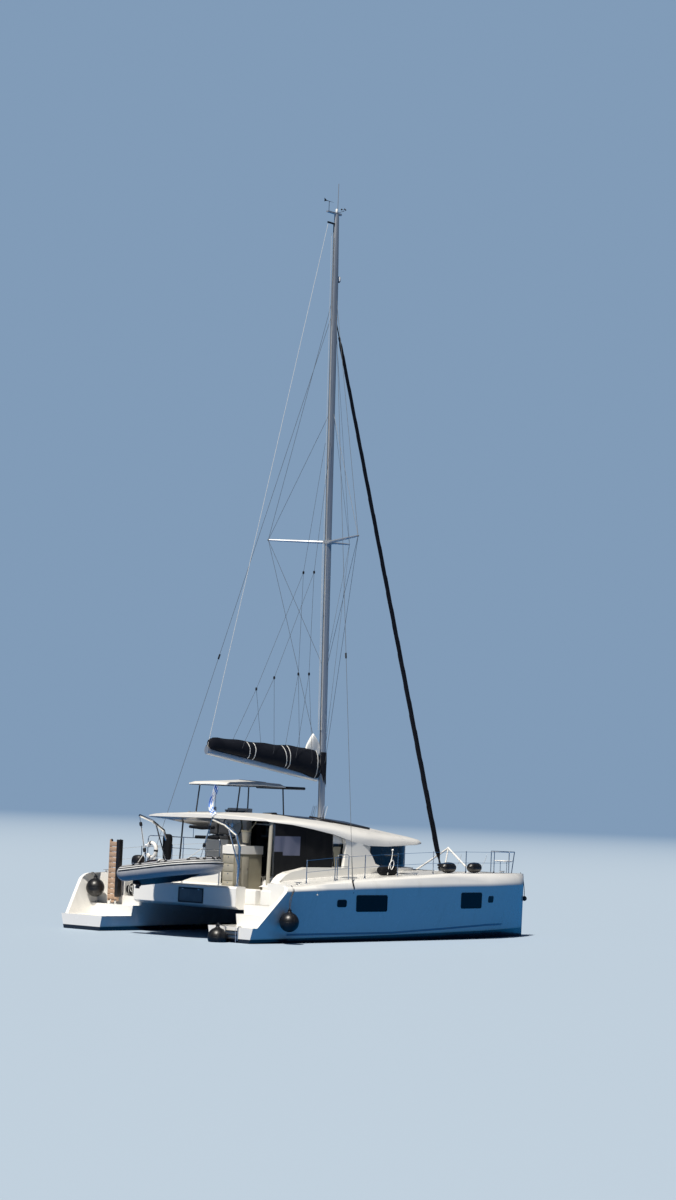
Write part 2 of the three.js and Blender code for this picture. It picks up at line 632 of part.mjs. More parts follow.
function helmWheel() {
  const rim = new THREE.TorusGeometry(WHEEL_R, 15, 6, 24).rotateY(Math.PI / 2);
  const hub = rod([-26, 0, 0], [26, 0, 0], 55, 16);
  const shaft = rod([0, 0, 0], [CONSOLE.x0 - WHEEL_HUB.x - GAP, 0, 0], 20, 12);
  const spokes = [...Array(SPOKES)].map((_, i) => {
    const a = (i * 2 * Math.PI) / SPOKES;
    return rod([0, 0, 0], [0, WHEEL_R * Math.sin(a), WHEEL_R * Math.cos(a)], 10, 6);
  });
  return join(rim, hub, shaft, ...spokes).translate(WHEEL_HUB.x, WHEEL_HUB.y, WHEEL_HUB.z);
}

// Bimini over the helm: x, half width, edge and crown heights of its sections
const BIMINI = [
  { x: -3480, half: 780, edge: 4065, crown: 4100 },
  { x: -3360, half: 900, edge: 4070, crown: 4170 },
  { x: -2300, half: 950, edge: 4085, crown: 4235 },
  { x: -1300, half: 900, edge: 4060, crown: 4200 },
  { x: -1130, half: 780, edge: 4040, crown: 4110 },
];
const BIMINI_Y = 960;
const BIMINI_POSTS = [
  [[-3310, 1600, 3200], [-3180, 1600, 4100]], [[-3090, 270, 3260], [-2940, 300, 4120]],
  [[-1320, 1450, 3110], [-1330, 1430, 4100]], [[-1180, 200, 3230], [-1230, 230, 4090]],
];

function bimini() {
  const ring = (s) => [
    [-s.half, s.edge], [-s.half, s.edge + 25], [-0.75 * s.half, s.edge + 0.75 * (s.crown - s.edge)],
    [0, s.crown], [0.75 * s.half, s.edge + 0.75 * (s.crown - s.edge)], [s.half, s.edge + 25],
    [s.half, s.edge],
    [0, s.edge + 0.4 * (s.crown - s.edge)],
  ].map(([y, z]) => [s.x, BIMINI_Y + y, z]);
  const posts = BIMINI_POSTS.map(([foot, head]) => rod(foot, head, 20, 8));
  return cut(join(loft(BIMINI.map(ring)), ...posts), moved(hardtop, 0, 0, GAP));
}

// Forward beam with the white striker frame, the central walkway and the two nets
const STRIKER = { apex: [6230, 0, 2470], footY: 1120, postX: 6060 };

function crossbeam() {
  const beam = rod([CROSSBEAM_X, -2700, CROSSBEAM_Z], [CROSSBEAM_X, 2700, CROSSBEAM_Z], CROSSBEAM_R, 12);
  const onBeam = (y) => [CROSSBEAM_X + 40, y, CROSSBEAM_Z + 30];
  const frame = [
    rod(onBeam(-STRIKER.footY), STRIKER.apex, 28, 8), rod(onBeam(STRIKER.footY), STRIKER.apex, 28, 8),
    rod(onBeam(0), STRIKER.apex, 24, 8), ball(...STRIKER.apex, 40, 10, 8),
  ];
  return cut(join(beam, ...frame), moved(hull, 0, GAP, 0), moved(hullPort, 0, -GAP, 0));
}

const WALKWAY_HALF = 160;
const beams = crossbeam();
const walkway = cut(
  sideProfile(
    [[3300, 1600], [3900, 1700], [6050, 1690], [6050, 1620], [3900, 1560], [3300, 1380]],
    -WALKWAY_HALF, WALKWAY_HALF,
  ),
  moved(bridgedeck, GAP, 0, 0), moved(beams, -GAP, 0, 0), box(5990, 6200, -500, 500, 1000, 2000),
);
const NET = { x0: 3400, x1: 5990, z0: 1640, z1: 1652, outer: 2700 };
const net = (side) => cut(
  box(NET.x0, NET.x1, Math.min(side * (WALKWAY_HALF + GAP), side * NET.outer),
    Math.max(side * (WALKWAY_HALF + GAP), side * NET.outer), NET.z0, NET.z1),
  moved(hull, 0, GAP, 0), moved(hullPort, 0, -GAP, 0), moved(bridgedeck, GAP, 0, 0), moved(beams, -GAP, 0, 0),
);

// Rig
const mastX = (z) => MAST_X - Math.tan(MAST_RAKE) * (z - 3100);
const MAST_HALF = { x: 120, y: 82 };
const GOOSENECK_PIN = { x: 10, z: GOOSENECK.z, radius: 12 };

function mastTube(grow, z0, z1) {
  const ring = (z) => [...Array(14)].map((_, i) => {
    const a = (i * 2 * Math.PI) / 14;
    const taper = z > 18500 ? THREE.MathUtils.mapLinear(z, 18500, MAST_TOP_Z, 1, 0.7) : 1;
    return [
      mastX(z) + (MAST_HALF.x * taper + grow) * Math.cos(a), (MAST_HALF.y * taper + grow) * Math.sin(a), z,
    ];
  });
  const heights = [z0, ...[18500].filter((z) => z > z0 && z < z1), z1];
  return loft(heights.map(ring), [0, 1]);
}

function mast() {
  const tube = mastTube(0, MAST_FOOT_Z - 40, MAST_TOP_Z);
  const top = mastX(MAST_TOP_Z);
  const crane = sideProfile(
    [[top - 420, MAST_TOP_Z - 20], [top + 190, MAST_TOP_Z - 20], [top + 190, MAST_TOP_Z + 40],
      [top - 420, MAST_TOP_Z + 20]], -35, 35,
  );
  const whip = rod([top + 40, 0, MAST_TOP_Z + 30], [top + 40, 0, MAST_TOP_Z + 900], 11, 6);
  const lugs = [45, -45].map((dz) => box(
    GOOSENECK_PIN.x - 28, mastX(GOOSENECK.z) - 60, -30, 30, GOOSENECK.z + dz - 8, GOOSENECK.z + dz + 8,
  ));
  const pin = rod(
    [GOOSENECK_PIN.x, 0, GOOSENECK.z - 50], [GOOSENECK_PIN.x, 0, GOOSENECK.z + 50], GOOSENECK_PIN.radius, 12,
  );
  return cut(join(tube, crane, whip, ...lugs, pin), moved(hardtop, 0, 0, GAP));
}

const mastBody = mast();
const clearOfMast = (geometry, z0 = 3000, z1 = 19900) => cut(geometry, mastTube(GAP, z0, z1));
const spreaderRoot = [mastX(SPREADER_Z), 0, SPREADER_Z];
const spreaderTip = (side) => [
  spreaderRoot[0] - SPREADER_LENGTH * Math.sin(SPREADER_SWEEP),
  side * SPREADER_LENGTH * Math.cos(SPREADER_SWEEP), SPREADER_Z + 60,
];

function spreaders() {
  const collar = rod([spreaderRoot[0], 0, SPREADER_Z - 45], [spreaderRoot[0], 0, SPREADER_Z + 45], 150, 14);
  const arms = [-1, 1].map((side) => rod(spreaderRoot, spreaderTip(side), 48, 8, 28));
  const jumper = rod(spreaderRoot, [spreaderRoot[0] + JUMPER_LENGTH, 0, SPREADER_Z + 40], 38, 8, 22);
  return clearOfMast(join(collar, ...arms, jumper), SPREADER_Z - 400, SPREADER_Z + 400);
}

const DIAMOND_ENDS = [18150, 14850, 7600, 4750];
const WIRE_R = 6;
// Where a wire of this radius lies against the flat side of the mast
const mastSide = (z, side) => [mastX(z), side * (MAST_HALF.y * Math.cos(Math.PI / 14) + WIRE_R + 0.5), z];

function diamonds(side) {
  const root = new THREE.Vector3(...spreaderRoot);
  const tip = new THREE.Vector3(...spreaderTip(side));
  const out = tip.clone().sub(root).normalize();
  const end = tip.clone().addScaledVector(out, 32).toArray();
  const wires = DIAMOND_ENDS.map((z) => rod(end, mastSide(z, side), WIRE_R, 5));
  return join(ball(...end, 28, 8, 6), ...wires);
}

function shroud(side) {
  const foot = [CHAINPLATE.x, side * CHAINPLATE.y, CHAINPLATE.z];
  const top = mastSide(HOUND_Z, side);
  const along = (t) => foot.map((v, i) => v + t * (top[i] - v));
  const parts = [rod(foot, top, WIRE_R, 6), rod(foot, along(0.045), 16, 8, 12)];
  return cut(join(...parts), moved(side < 0 ? hull : hullPort, 0, 0, GAP));
}

// Headsail rolled on its stay: distance up the stay and radius of each change of thickness
const STAY = { foot: [5915, 0, 1800], drumR: 95, foilR: 16, sailR: [78, 48] };

function rolledSail() {
  const head = new THREE.Vector3(mastX(HOUND_Z) + 40, 0, HOUND_Z);
  const foot = new THREE.Vector3(...STAY.foot);
  const length = head.distanceTo(foot);
  const profile = [
    [0, 0], [STAY.foilR, 0], [STAY.foilR, 90], [STAY.drumR, 95], [STAY.drumR, 190], [STAY.foilR + 8, 200],
    [STAY.foilR + 8, 330], [STAY.sailR[0], 620], [STAY.sailR[1], length - 900], [STAY.foilR, length - 700],
    [STAY.foilR, length], [0, length],
  ];
  const body = new THREE.LatheGeometry(profile.map(([r, h]) => new THREE.Vector2(r, h)), 12);
  const turn = new THREE.Quaternion().setFromUnitVectors(
    new THREE.Vector3(0, 1, 0), head.clone().sub(foot).normalize(),
  );
  body.applyQuaternion(turn).translate(...STAY.foot);
  return cut(clearOfMast(body, 17000, 18400), moved(beams, 0, 0, GAP));
}

// Boom and the sail lying on it in its bag
const BOOM_HALF = { y: 75, z: 115 };
const boomSlope = (BOOM_END.z - GOOSENECK.z) / (BOOM_END.x - GOOSENECK.x);
const boomZ = (x) => GOOSENECK.z + (x - GOOSENECK.x) * boomSlope;
const BOOM_FRONT_X = -60;

function ellipse(x, z, halfY, halfZ, sides = 12) {
  return [...Array(sides)].map((_, i) => {
    const a = (i * 2 * Math.PI) / sides;
    return [x, halfY * Math.cos(a), z + halfZ * Math.sin(a)];
  });
}

function boom() {
  const spar = loft([BOOM_FRONT_X, BOOM_END.x].map((x) => ellipse(x, boomZ(x), BOOM_HALF.y, BOOM_HALF.z)));
  const eye = cut(
    join(
      rod([GOOSENECK_PIN.x, 0, GOOSENECK.z - 34], [GOOSENECK_PIN.x, 0, GOOSENECK.z + 34], 26, 16),
      box(BOOM_FRONT_X - 40, GOOSENECK_PIN.x - 10, -16, 16, GOOSENECK.z - 30, GOOSENECK.z + 30),
    ),
    rod(
      [GOOSENECK_PIN.x, 0, GOOSENECK.z - 60], [GOOSENECK_PIN.x, 0, GOOSENECK.z + 60],
      GOOSENECK_PIN.radius + 1, 12,
    ),
  );
  return join(spar, eye);
}

// x: section, half: half width, top: height above the boom's axis
const BAG = [
  { x: -110, half: 120, top: 760 }, { x: -420, half: 200, top: 780 }, { x: -1300, half: 215, top: 700 },
  { x: -2600, half: 195, top: 560 }, { x: -3900, half: 165, top: 450 }, { x: -4480, half: 130, top: 390 },
  { x: -4640, half: 70, top: 330 },
];

function sailBag() {
  const ring = ({ x, half, top }) => {
    const low = boomZ(x) + BOOM_HALF.z * 0.35;
    const high = boomZ(x) + top;
    return [
      [-BOOM_HALF.y - 12, low], [-half, low + 0.25 * (high - low)], [-0.9 * half, low + 0.6 * (high - low)],
      [-0.45 * half, high - 40], [0, high], [0.45 * half, high - 40],
      [0.9 * half, low + 0.6 * (high - low)], [half, low + 0.25 * (high - low)], [BOOM_HALF.y + 12, low],
    ].map(([y, z]) => [x, y, z]);
  };
  const clearBoom = loft(
    [-20, BOOM_END.x - 30].map((x) => ellipse(x, boomZ(x), BOOM_HALF.y + GAP, BOOM_HALF.z + GAP)),
  );
  return cut(loft(BAG.map(ring)), clearBoom);
}

// The tender, slung across the stern
const TENDER = { x: -6200, port: [1180, 1560], starboard: [-2150, 1990], tubeR: 215, halfBeam: 590 };
const tenderSlope = (TENDER.starboard[1] - TENDER.port[1]) / (TENDER.starboard[0] - TENDER.port[0]);
const tenderZ = (y) => TENDER.port[1] + (y - TENDER.port[0]) * tenderSlope;

function tenderTube() {
  const at = (dx, y) => new THREE.Vector3(TENDER.x + dx, y, tenderZ(y));
  const path = new THREE.CatmullRomCurve3([
    at(-TENDER.halfBeam, 860), at(-TENDER.halfBeam, -100), at(-TENDER.halfBeam, -750),
    at(-TENDER.halfBeam * 0.75, -1400), at(0, -1760), at(TENDER.halfBeam * 0.75, -1400),
    at(TENDER.halfBeam, -750), at(TENDER.halfBeam, -100), at(TENDER.halfBeam, 860),
  ]);
  const section = new THREE.Shape().absarc(0, 0, TENDER.tubeR, 0, 2 * Math.PI);
  return new THREE.ExtrudeGeometry(
    section, { steps: 26, curveSegments: 6, bevelEnabled: false, extrudePath: path },
  );
}

const TRANSOM_Y = [695, 745];

function tenderHull(tube) {
  const ring = (y, half, deep) => [
    [-half, 60], [-half, -60], [0, -deep], [half, -60], [half, 60], [half - 30, 60], [half - 30, -10],
    [-half + 30, -10], [-half + 30, 60],
  ].map(([dx, dz]) => [TENDER.x + dx, y, tenderZ(y) + dz]);
  const shell = loft(
    [ring(760, 560, 330), ring(-700, 560, 330), ring(-1230, 430, 230), ring(-1530, 240, 130)], [0, 2],
  );
  const transom = box(TENDER.x - 360, TENDER.x + 360, ...TRANSOM_Y, -300, 170)
    .translate(0, 0, tenderZ(TRANSOM_Y[0]));
  return cut(join(shell, transom), tube);
}

const tube = tenderTube();

// The tubes' skin stands a seating gap clear of the tender's hull
function tenderTubeKnife() {
  return join(
    moved(tube, GAP, 0, 0), moved(tube, -GAP, 0, 0), moved(tube, 0, 0, GAP), moved(tube, 0, 0, -GAP),
  );
}

const tenderShell = tenderHull(tenderTubeKnife());
const OUTBOARD = { x: TENDER.x, y: 770, z: tenderZ(770) };
const outboard = cut(
  join(
    box(-150, 150, -20, 340, 180, 480), box(-60, 60, 40, 200, -420, 200), box(-110, 110, -110, 60, 60, 230),
  ).translate(OUTBOARD.x, OUTBOARD.y, OUTBOARD.z),
  moved(tenderShell, 0, GAP, 0), moved(tenderShell, 0, -GAP, 0), moved(tenderShell, 0, 0, GAP),
);

// Davits, each with the slanting fall that holds the tender up by the ring on its floor
const FALL_Y = { starboard: -1250, port: 550 };
const DAVIT = [[-5100, 1380], [-5080, 2420], [-5240, 2760], [-5700, 3010], [TENDER.x, 3150]];

function davit(y, ringY) {
  const [footX, footZ] = DAVIT[0];
  const [endX, endZ] = DAVIT[DAVIT.length - 1];
  const floorZ = tenderZ(ringY) - 10;
  const parts = [
    pipe(DAVIT.map(([x, z]) => [x, y, z]), 38, 8),
    rod([footX, y, footZ], [footX, y, footZ + 25], 95, 12),
    rod([-5085, y, 1900], [-5560, y, 2930], 20, 6),
    rod([endX, ringY, floorZ - 40], [endX, y, endZ], 9, 6),
    rod([endX, ringY, floorZ - 40], [endX, ringY, floorZ + 60], 22, 8),
  ];
  return cut(join(...parts), moved(bridgedeck, 0, 0, GAP), moved(tenderShell, 0, 0, GAP));
}

// Gangway standing on the port quarter, and the ears it hinges between
const GANGWAY = { half: 190, length: 1700, slats: 11, pinR: 14 };

function gangway() {
  const { x, y, z } = GANGWAY_FOOT;
  const rails = [-1, 1].map((side) => box(
    x - 30, x + 30, y + side * (GANGWAY.half - 20) - 20, y + side * (GANGWAY.half - 20) + 20,
    z + 25, z + GANGWAY.length,
  ));
  const pitch = (GANGWAY.length - 120) / GANGWAY.slats;
  const slats = [...Array(GANGWAY.slats)].map((_, i) => box(
    x - 42, x - 12, y - GANGWAY.half + 10, y + GANGWAY.half - 10,
    z + 80 + i * pitch, z + 80 + i * pitch + 100,
  ));
  const eye = rod([x, y - 60, z], [x, y + 60, z], 32, 16);
  const tongue = box(x - 20, x + 20, y - 60, y + 60, z + 10, z + 90);
  const bore = rod([x, y - 100, z], [x, y + 100, z], GANGWAY.pinR + 1, 16);
  const crossBar = box(x - 30, x + 30, y - GANGWAY.half, y + GANGWAY.half, z + 60, z + 110);
  return cut(join(...rails, ...slats, eye, tongue, crossBar), bore);
}

function gangwayHinge() {
  const { x, y, z } = GANGWAY_FOOT;
  const floor = TREADS[0];
  const ears = [-1, 1].map((side) => box(
    x - 30, x + 30, y + side * 75 - 9, y + side * 75 + 9, floor + 5, z + 25,
  ));
  const plate = box(x - 55, x + 55, y - 110, y + 110, floor + GAP, floor + 12);
  return join(plate, ...ears, rod([x, y - 84, z], [x, y + 84, z], GANGWAY.pinR, 12));
}

// Rails: x of each stanchion on the side deck, and the height of the top wire above the deck
const STANCHIONS = [4100, 2500, 900, -700, -2100, -3350, -4500];
const RAIL_HEIGHT = 620;
const deckEdge = (x) => HULL_OFFSET + between(x, 'outKnuckle') - 262;

function guardRail(side) {
  const at = (x, up) => [x, side * deckEdge(x), between(x, 'deck') + up];
  const posts = STANCHIONS.map((x) => rod(at(x, -20), at(x, RAIL_HEIGHT), 13, 6));
  const wire = (up) => STANCHIONS.slice(1).map((x, i) => rod(at(STANCHIONS[i], up), at(x, up), 5, 5));
  const bowX = 5950;
  const inner = [5250, side * (HULL_OFFSET - 330), between(5250, 'deck')];
  const pulpit = [
    pipe([
      at(5250, -20), at(5250, RAIL_HEIGHT), [bowX, side * HULL_OFFSET, between(bowX, 'deck') + RAIL_HEIGHT],
      [5250, inner[1], inner[2] + RAIL_HEIGHT], [5250, inner[1], inner[2] - 20],
    ], 14, 6),
    rod([bowX - 120, side * HULL_OFFSET, between(bowX, 'deck') - 20],
      [bowX, side * HULL_OFFSET, between(bowX, 'deck') + RAIL_HEIGHT], 14, 6),
    rod(at(4100, RAIL_HEIGHT - 12), at(5250, RAIL_HEIGHT - 12), 5, 5),
    rod(at(4100, 300), at(5250, 300), 5, 5),
  ];
  const deck = side < 0 ? hull : hullPort;
  return cut(
    join(...posts, ...wire(RAIL_HEIGHT - 12), ...wire(300), ...pulpit), moved(deck, 0, 0, GAP),
  );
}

// Round fenders, each with the stalk that its line is tied to
const FENDER_R = 255;

function ballFender(x, y, z) {
  const top = z + FENDER_R * 1.28;
  const stalk = rod([x, y, z], [x, y, top], FENDER_R * 0.16, 6, FENDER_R * 0.12);
  return join(ball(x, y, z, FENDER_R, 16, 8), stalk);
}

// These two hang by their lines: one over the starboard side, one inside the port bulwark
function sideFender() {
  const [x, y, z] = [-5450, -3870, 575];
  const line = pipe(
    [[x, y, z + FENDER_R], [-5230, -3850, 1340], [-5200, -3800, 1440], [-5190, -3660, 1495]], 8, 6,
  );
  return cut(join(ballFender(x, y, z), line), moved(hull, 0, 0, GAP), moved(hull, 0, -GAP, 0));
}

function bulwarkFender() {
  const [x, y, z] = [-5330, 3380, 1100];
  const line = pipe(
    [[x, y, z + FENDER_R], [-5250, 3545, 1507], [-5215, 3650, 1505], [-5190, 3740, 1478]], 8, 6,
  );
  return cut(join(ballFender(x, y, z), line), moved(hullPort, 0, 0, GAP), moved(hullPort, 0, -GAP, 0));
}

const group = new THREE.Group();

function add(name, geometry, finish) {
  const mesh = new THREE.Mesh(geometry, new THREE.MeshStandardMaterial(FINISH[finish]));
  mesh.name = name;
  group.add(mesh);
}

add('hull_starboard', hull, 'gelcoat');
add('hull_port', hullPort, 'gelcoat');
const UNDERWATER = [
  ['keel', keelFin(), 'antifoul'], ['rudder', rudder(), 'antifoul'],
  ['saildrive', saildrive(), 'antifoul'], ['propeller', propeller(), 'bronze'],
];
for (const [name, geometry, finish] of UNDERWATER) {
  add(`${name}_starboard`, geometry, finish);
  add(`${name}_port`, mirrored(geometry), finish);
}
add('bridgedeck', bridgedeck, 'gelcoat');
add('coaming', coaming, 'gelcoat');
add('hardtop', hardtop, 'gelcoat');
add('hardtop_post_starboard', hardtopPost, 'gelcoat');
add('hardtop_post_port', hardtopPostPort, 'gelcoat');
for (const side of ['starboard', 'port']) {
  add(`saloon_side_${side}`, saloonSide(side), 'gelcoat');
  add(`glazing_side_${side}`, glassAft(side), 'darkGlass');
}
add('saloon_front', saloonFront, 'gelcoat');
add('glazing_front', glassFront, 'darkGlass');
add('side_wing_starboard', sideWing, 'gelcoat');
add('side_wing_port', sideWingPort, 'gelcoat');
add('saloon_bulkhead', bulkhead, 'gelcoat');
add('cockpit_curtain', cockpitCurtain, 'canvas');
add('sliding_door', slidingDoor, 'alloy');
add('door_rails', doorRails, 'alloy');
add('aft_locker_lid', lockerLid, 'darkGlass');
add('cockpit_bench', cockpitBench, 'beige');
add('cockpit_locker', cockpitLocker, 'beige');
add('cockpit_table', cockpitTable, 'gelcoat');
add('helm_station', helmStation, 'gelcoat');
add('helm_seat', helmSeat, 'beige');
add('helm_wheel', helmWheel(), 'steel');
add('helm_bimini', bimini(), 'gelcoat');
add('crossbeam', beams, 'alloy');
add('foredeck_walkway', walkway, 'gelcoat');
add('trampoline_starboard', net(-1), 'netting');
add('trampoline_port', net(1), 'netting');
add('mast', mastBody, 'alloy');
add('spreaders', spreaders(), 'alloy');
for (const [name, side] of [['starboard', -1], ['port', 1]]) {
  add(`diamond_stays_${name}`, diamonds(side), 'steel');
  add(`shroud_${name}`, shroud(side), 'steel');
  add(`davit_${name}`, davit(DAVIT_Y[name], FALL_Y[name]), 'steel');
  add(`guard_rail_${name}`, guardRail(side), 'steel');
}
add('rolled_headsail', rolledSail(), 'canvas');
add('boom', boom(), 'alloy');
add('sail_bag', sailBag(), 'canvas');
add('tender_tube', tube, 'tenderGrey');
add('tender_hull', tenderShell, 'tenderGrey');
add('tender_outboard', outboard, 'rubber');
add('gangway', gangway(), 'teak');
add('gangway_hinge', gangwayHinge(), 'steel');
add('ball_fender_side', sideFender(), 'rubber');
add('ball_fender_stern_starboard', ballFender(PLATFORM_X - FENDER_R - 0.4, -2530, 120), 'rubber');
add('ball_fender_stern_port', bulwarkFender(), 'rubber');

export default group;
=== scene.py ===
"""Dresses a cruising catamaran: its finishes, canvas, rig lines, deck gear and the tender."""
from math import copysign, cos, exp, pi, radians, sin, sqrt, tan

import bmesh
import bpy
from mathutils import Matrix, Vector, noise
from mathutils.bvhtree import BVHTree


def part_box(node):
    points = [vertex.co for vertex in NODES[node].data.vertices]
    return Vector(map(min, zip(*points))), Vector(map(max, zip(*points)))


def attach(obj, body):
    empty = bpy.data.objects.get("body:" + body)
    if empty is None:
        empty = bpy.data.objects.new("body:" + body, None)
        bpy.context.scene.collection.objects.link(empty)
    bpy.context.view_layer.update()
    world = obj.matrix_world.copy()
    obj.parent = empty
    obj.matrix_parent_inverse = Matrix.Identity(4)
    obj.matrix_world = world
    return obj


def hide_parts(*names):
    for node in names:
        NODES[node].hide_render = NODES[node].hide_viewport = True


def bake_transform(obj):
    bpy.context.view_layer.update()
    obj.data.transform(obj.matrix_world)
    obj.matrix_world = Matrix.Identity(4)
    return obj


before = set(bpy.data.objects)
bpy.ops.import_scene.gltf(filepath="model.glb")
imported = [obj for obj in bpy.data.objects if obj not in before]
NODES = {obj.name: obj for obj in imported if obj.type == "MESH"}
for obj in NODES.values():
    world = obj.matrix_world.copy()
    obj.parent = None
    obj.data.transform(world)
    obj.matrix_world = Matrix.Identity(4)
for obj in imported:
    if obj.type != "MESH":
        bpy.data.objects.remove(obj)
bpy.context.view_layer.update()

bl_info = {
    "name": "Catamaran dressing",
    "version": (1, 0, 0),
    "blender": (4, 5, 0),
    "location": "3D View > Sidebar > Catamaran",
    "description": "Finishes, canvas, rigging and deck gear for a cruising catamaran",
    "category": "Object",
}

SIDES = {"starboard": -1, "port": 1}
HULL_Y = 2.68
SMOOTH_ANGLE = radians(38)

# Mesh building

FORE, PORT = Vector((1, 0, 0)), Vector((0, 1, 0))
UP, DOWN = Vector((0, 0, 1)), Vector((0, 0, -1))
FINISH = {}


def in_scene(name, data):
    made = bpy.data.objects.new(name, data)
    bpy.context.scene.collection.objects.link(made)
    return made


def circle(count):
    """Angles all round, in equal steps."""
    return [2 * pi * k / count for k in range(count)]


class Shape:
    """Gathers simple forms in one mesh and makes a piece of the boat from it."""

    def __init__(self):
        self.bm = bmesh.new()

    def take(self, part, mat=0):
        """Adds a part and frees it."""
        mesh = bpy.data.meshes.new("part")
        for face in part.faces:
            face.material_index = mat
            face.smooth = True
        part.to_mesh(mesh)
        part.free()
        self.bm.from_mesh(mesh)
        bpy.data.meshes.remove(mesh)

    def box(self, lo, hi, bevel=0, mat=0, segments=2):
        """A box between two corners, with rounded edges."""
        part = bmesh.new()
        size = [hi[k] - lo[k] for k in range(3)]
        middle = Vector([(hi[k] + lo[k]) / 2 for k in range(3)])
        bmesh.ops.create_cube(part, size=1, matrix=Matrix.Diagonal((*size, 1)))
        if bevel:
            edges = part.edges[:]
            bmesh.ops.bevel(part, geom=edges, offset=bevel, segments=segments, profile=0.5, affect="EDGES")
        bmesh.ops.transform(part, matrix=Matrix.Translation(middle), verts=part.verts)
        self.take(part, mat)

    def rings(self, rings, mat=0, capped=True, closed=False):
        """A skin through rings of equal count."""
        part = bmesh.new()
        rows = [[part.verts.new(p) for p in ring] for ring in rings]
        count = len(rows[0])
        pairs = list(zip(rows, rows[1:])) + ([(rows[-1], rows[0])] if closed else [])
        for a, b in pairs:
            for i in range(count):
                j = (i + 1) % count
                part.faces.new((a[i], a[j], b[j], b[i]))
        if capped and not closed:
            part.faces.new(rows[0][::-1])
            part.faces.new(rows[-1])
        bmesh.ops.recalc_face_normals(part, faces=part.faces)
        self.take(part, mat)

    def tube(self, points, radius, sides=8, mat=0, closed=False):
        """A round rod along points. radius is one value, or one for each point."""
        points = [Vector(p) for p in points]
        radii = radius if isinstance(radius, list) else [radius] * len(points)
        count = len(points)
        tangents = []
        for i in range(count):
            before = points[(i - 1) % count] if closed else points[max(i - 1, 0)]
            after = points[(i + 1) % count] if closed else points[min(i + 1, count - 1)]
            tangents.append((after - before).normalized())
        side = tangents[0].orthogonal().normalized()
        rings = []
        for p, t, r in zip(points, tangents, radii):
            side = (side - t * side.dot(t)).normalized()
            up = t.cross(side)
            rings.append([p + (side * cos(a) + up * sin(a)) * r for a in circle(sides)])
        self.rings(rings, mat, closed=closed)

    def lathe(self, profile, base, axis=UP, sides=24, mat=0):
        """Turns (radius, height) pairs about an axis that starts at base."""
        turn = Vector(axis).normalized().to_track_quat("Z", "Y")
        rings = []
        for r, h in profile:
            r = max(r, 1e-4)
            rings.append([Vector(base) + turn @ Vector((r * cos(a), r * sin(a), h)) for a in circle(sides)])
        self.rings(rings, mat)

    def ball(self, centre, radius, mat=0, sides=16):
        steps = 10
        profile = [
            (radius * sin(pi * k / steps), -radius * cos(pi * k / steps))
            for k in range(steps + 1)
        ]
        self.lathe(profile, centre, sides=sides, mat=mat)

    def skin(self, rows, thick, mat=0):
        """A sheet through rows of points, with a back face thick behind it."""
        part = bmesh.new()
        front = [[part.verts.new(p) for p in row] for row in rows]
        for a, b in zip(front, front[1:]):
            for j in range(len(a) - 1):
                part.faces.new((a[j], a[j + 1], b[j + 1], b[j]))
        bmesh.ops.recalc_face_normals(part, faces=part.faces)
        bmesh.ops.solidify(part, geom=part.faces[:], thickness=thick)
        self.take(part, mat)

    def made(self, name):
        """The object of what was gathered so far."""
        mesh = bpy.data.meshes.new(name)
        self.bm.to_mesh(mesh)
        self.bm.free()
        return in_scene(name, mesh)

    def piece(self, name, finishes, slot, body="root", angle=SMOOTH_ANGLE):
        """Makes the object with its finishes, on its body. The slot argument is not used."""
        bmesh.ops.remove_doubles(self.bm, verts=self.bm.verts, dist=1e-5)
        made = self.made(name)
        for finish in finishes.split():
            made.data.materials.append(FINISH[finish])
        made.data.set_sharp_from_angle(angle=angle)
        if body:
            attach(made, body)
        return made


def surface_of(*names):
    """The faces of some of the boat's own parts, to set pieces on them."""
    verts, faces = [], []
    for name in names:
        mesh = NODES[name].data
        start = len(verts)
        verts += [v.co.copy() for v in mesh.vertices]
        faces += [[start + k for k in poly.vertices] for poly in mesh.polygons]
    return BVHTree.FromPolygons(verts, faces)


def onto(tree, start, direction):
    """Where a line from start meets the surface, and the surface's normal there."""
    hit, normal, _, _ = tree.ray_cast(Vector(start), Vector(direction))
    if hit is None:
        raise RuntimeError(f"nothing is under {start}")
    return hit, normal


def rounded(points, radius, steps=5):
    """The same route with its corners rounded."""
    points = [Vector(p) for p in points]
    route = [points[0]]
    for before, corner, after in zip(points, points[1:], points[2:]):
        reach = min(radius, (corner - before).length / 2, (after - corner).length / 2)
        start = corner + (before - corner).normalized() * reach
        end = corner + (after - corner).normalized() * reach
        for k in range(steps + 1):
            t = k / steps
            route.append(start.lerp(corner, t).lerp(corner.lerp(end, t), t))
    return route + [points[-1]]


# Node groups that several finishes share

def new_group(name, output, **inputs):
    """A group of number inputs and one output. Gives it, the inputs inside it and the output inside it."""
    group = bpy.data.node_groups.new(name, "ShaderNodeTree")
    for label, value in inputs.items():
        label = label.replace("_", " ")
        item = group.interface.new_socket(name=label, in_out="INPUT", socket_type="NodeSocketFloat")
        item.default_value = value
    group.interface.new_socket(name=output, in_out="OUTPUT", socket_type="NodeSocketFloat")
    start, end = group.nodes.new("NodeGroupInput"), group.nodes.new("NodeGroupOutput")
    return group, start.outputs, end.inputs[output]


def feed(tree, value, socket):
    """Links a socket to another, or gives it a value."""
    if isinstance(value, bpy.types.NodeSocket):
        tree.links.new(value, socket)
    else:
        socket.default_value = value


def add_node(tree, kind, **inputs):
    """A shader node whose named inputs are sockets or values."""
    node = tree.nodes.new(f"ShaderNode{kind}")
    for label, value in inputs.items():
        feed(tree, value, node.inputs[label.replace("_", " ")])
    return node


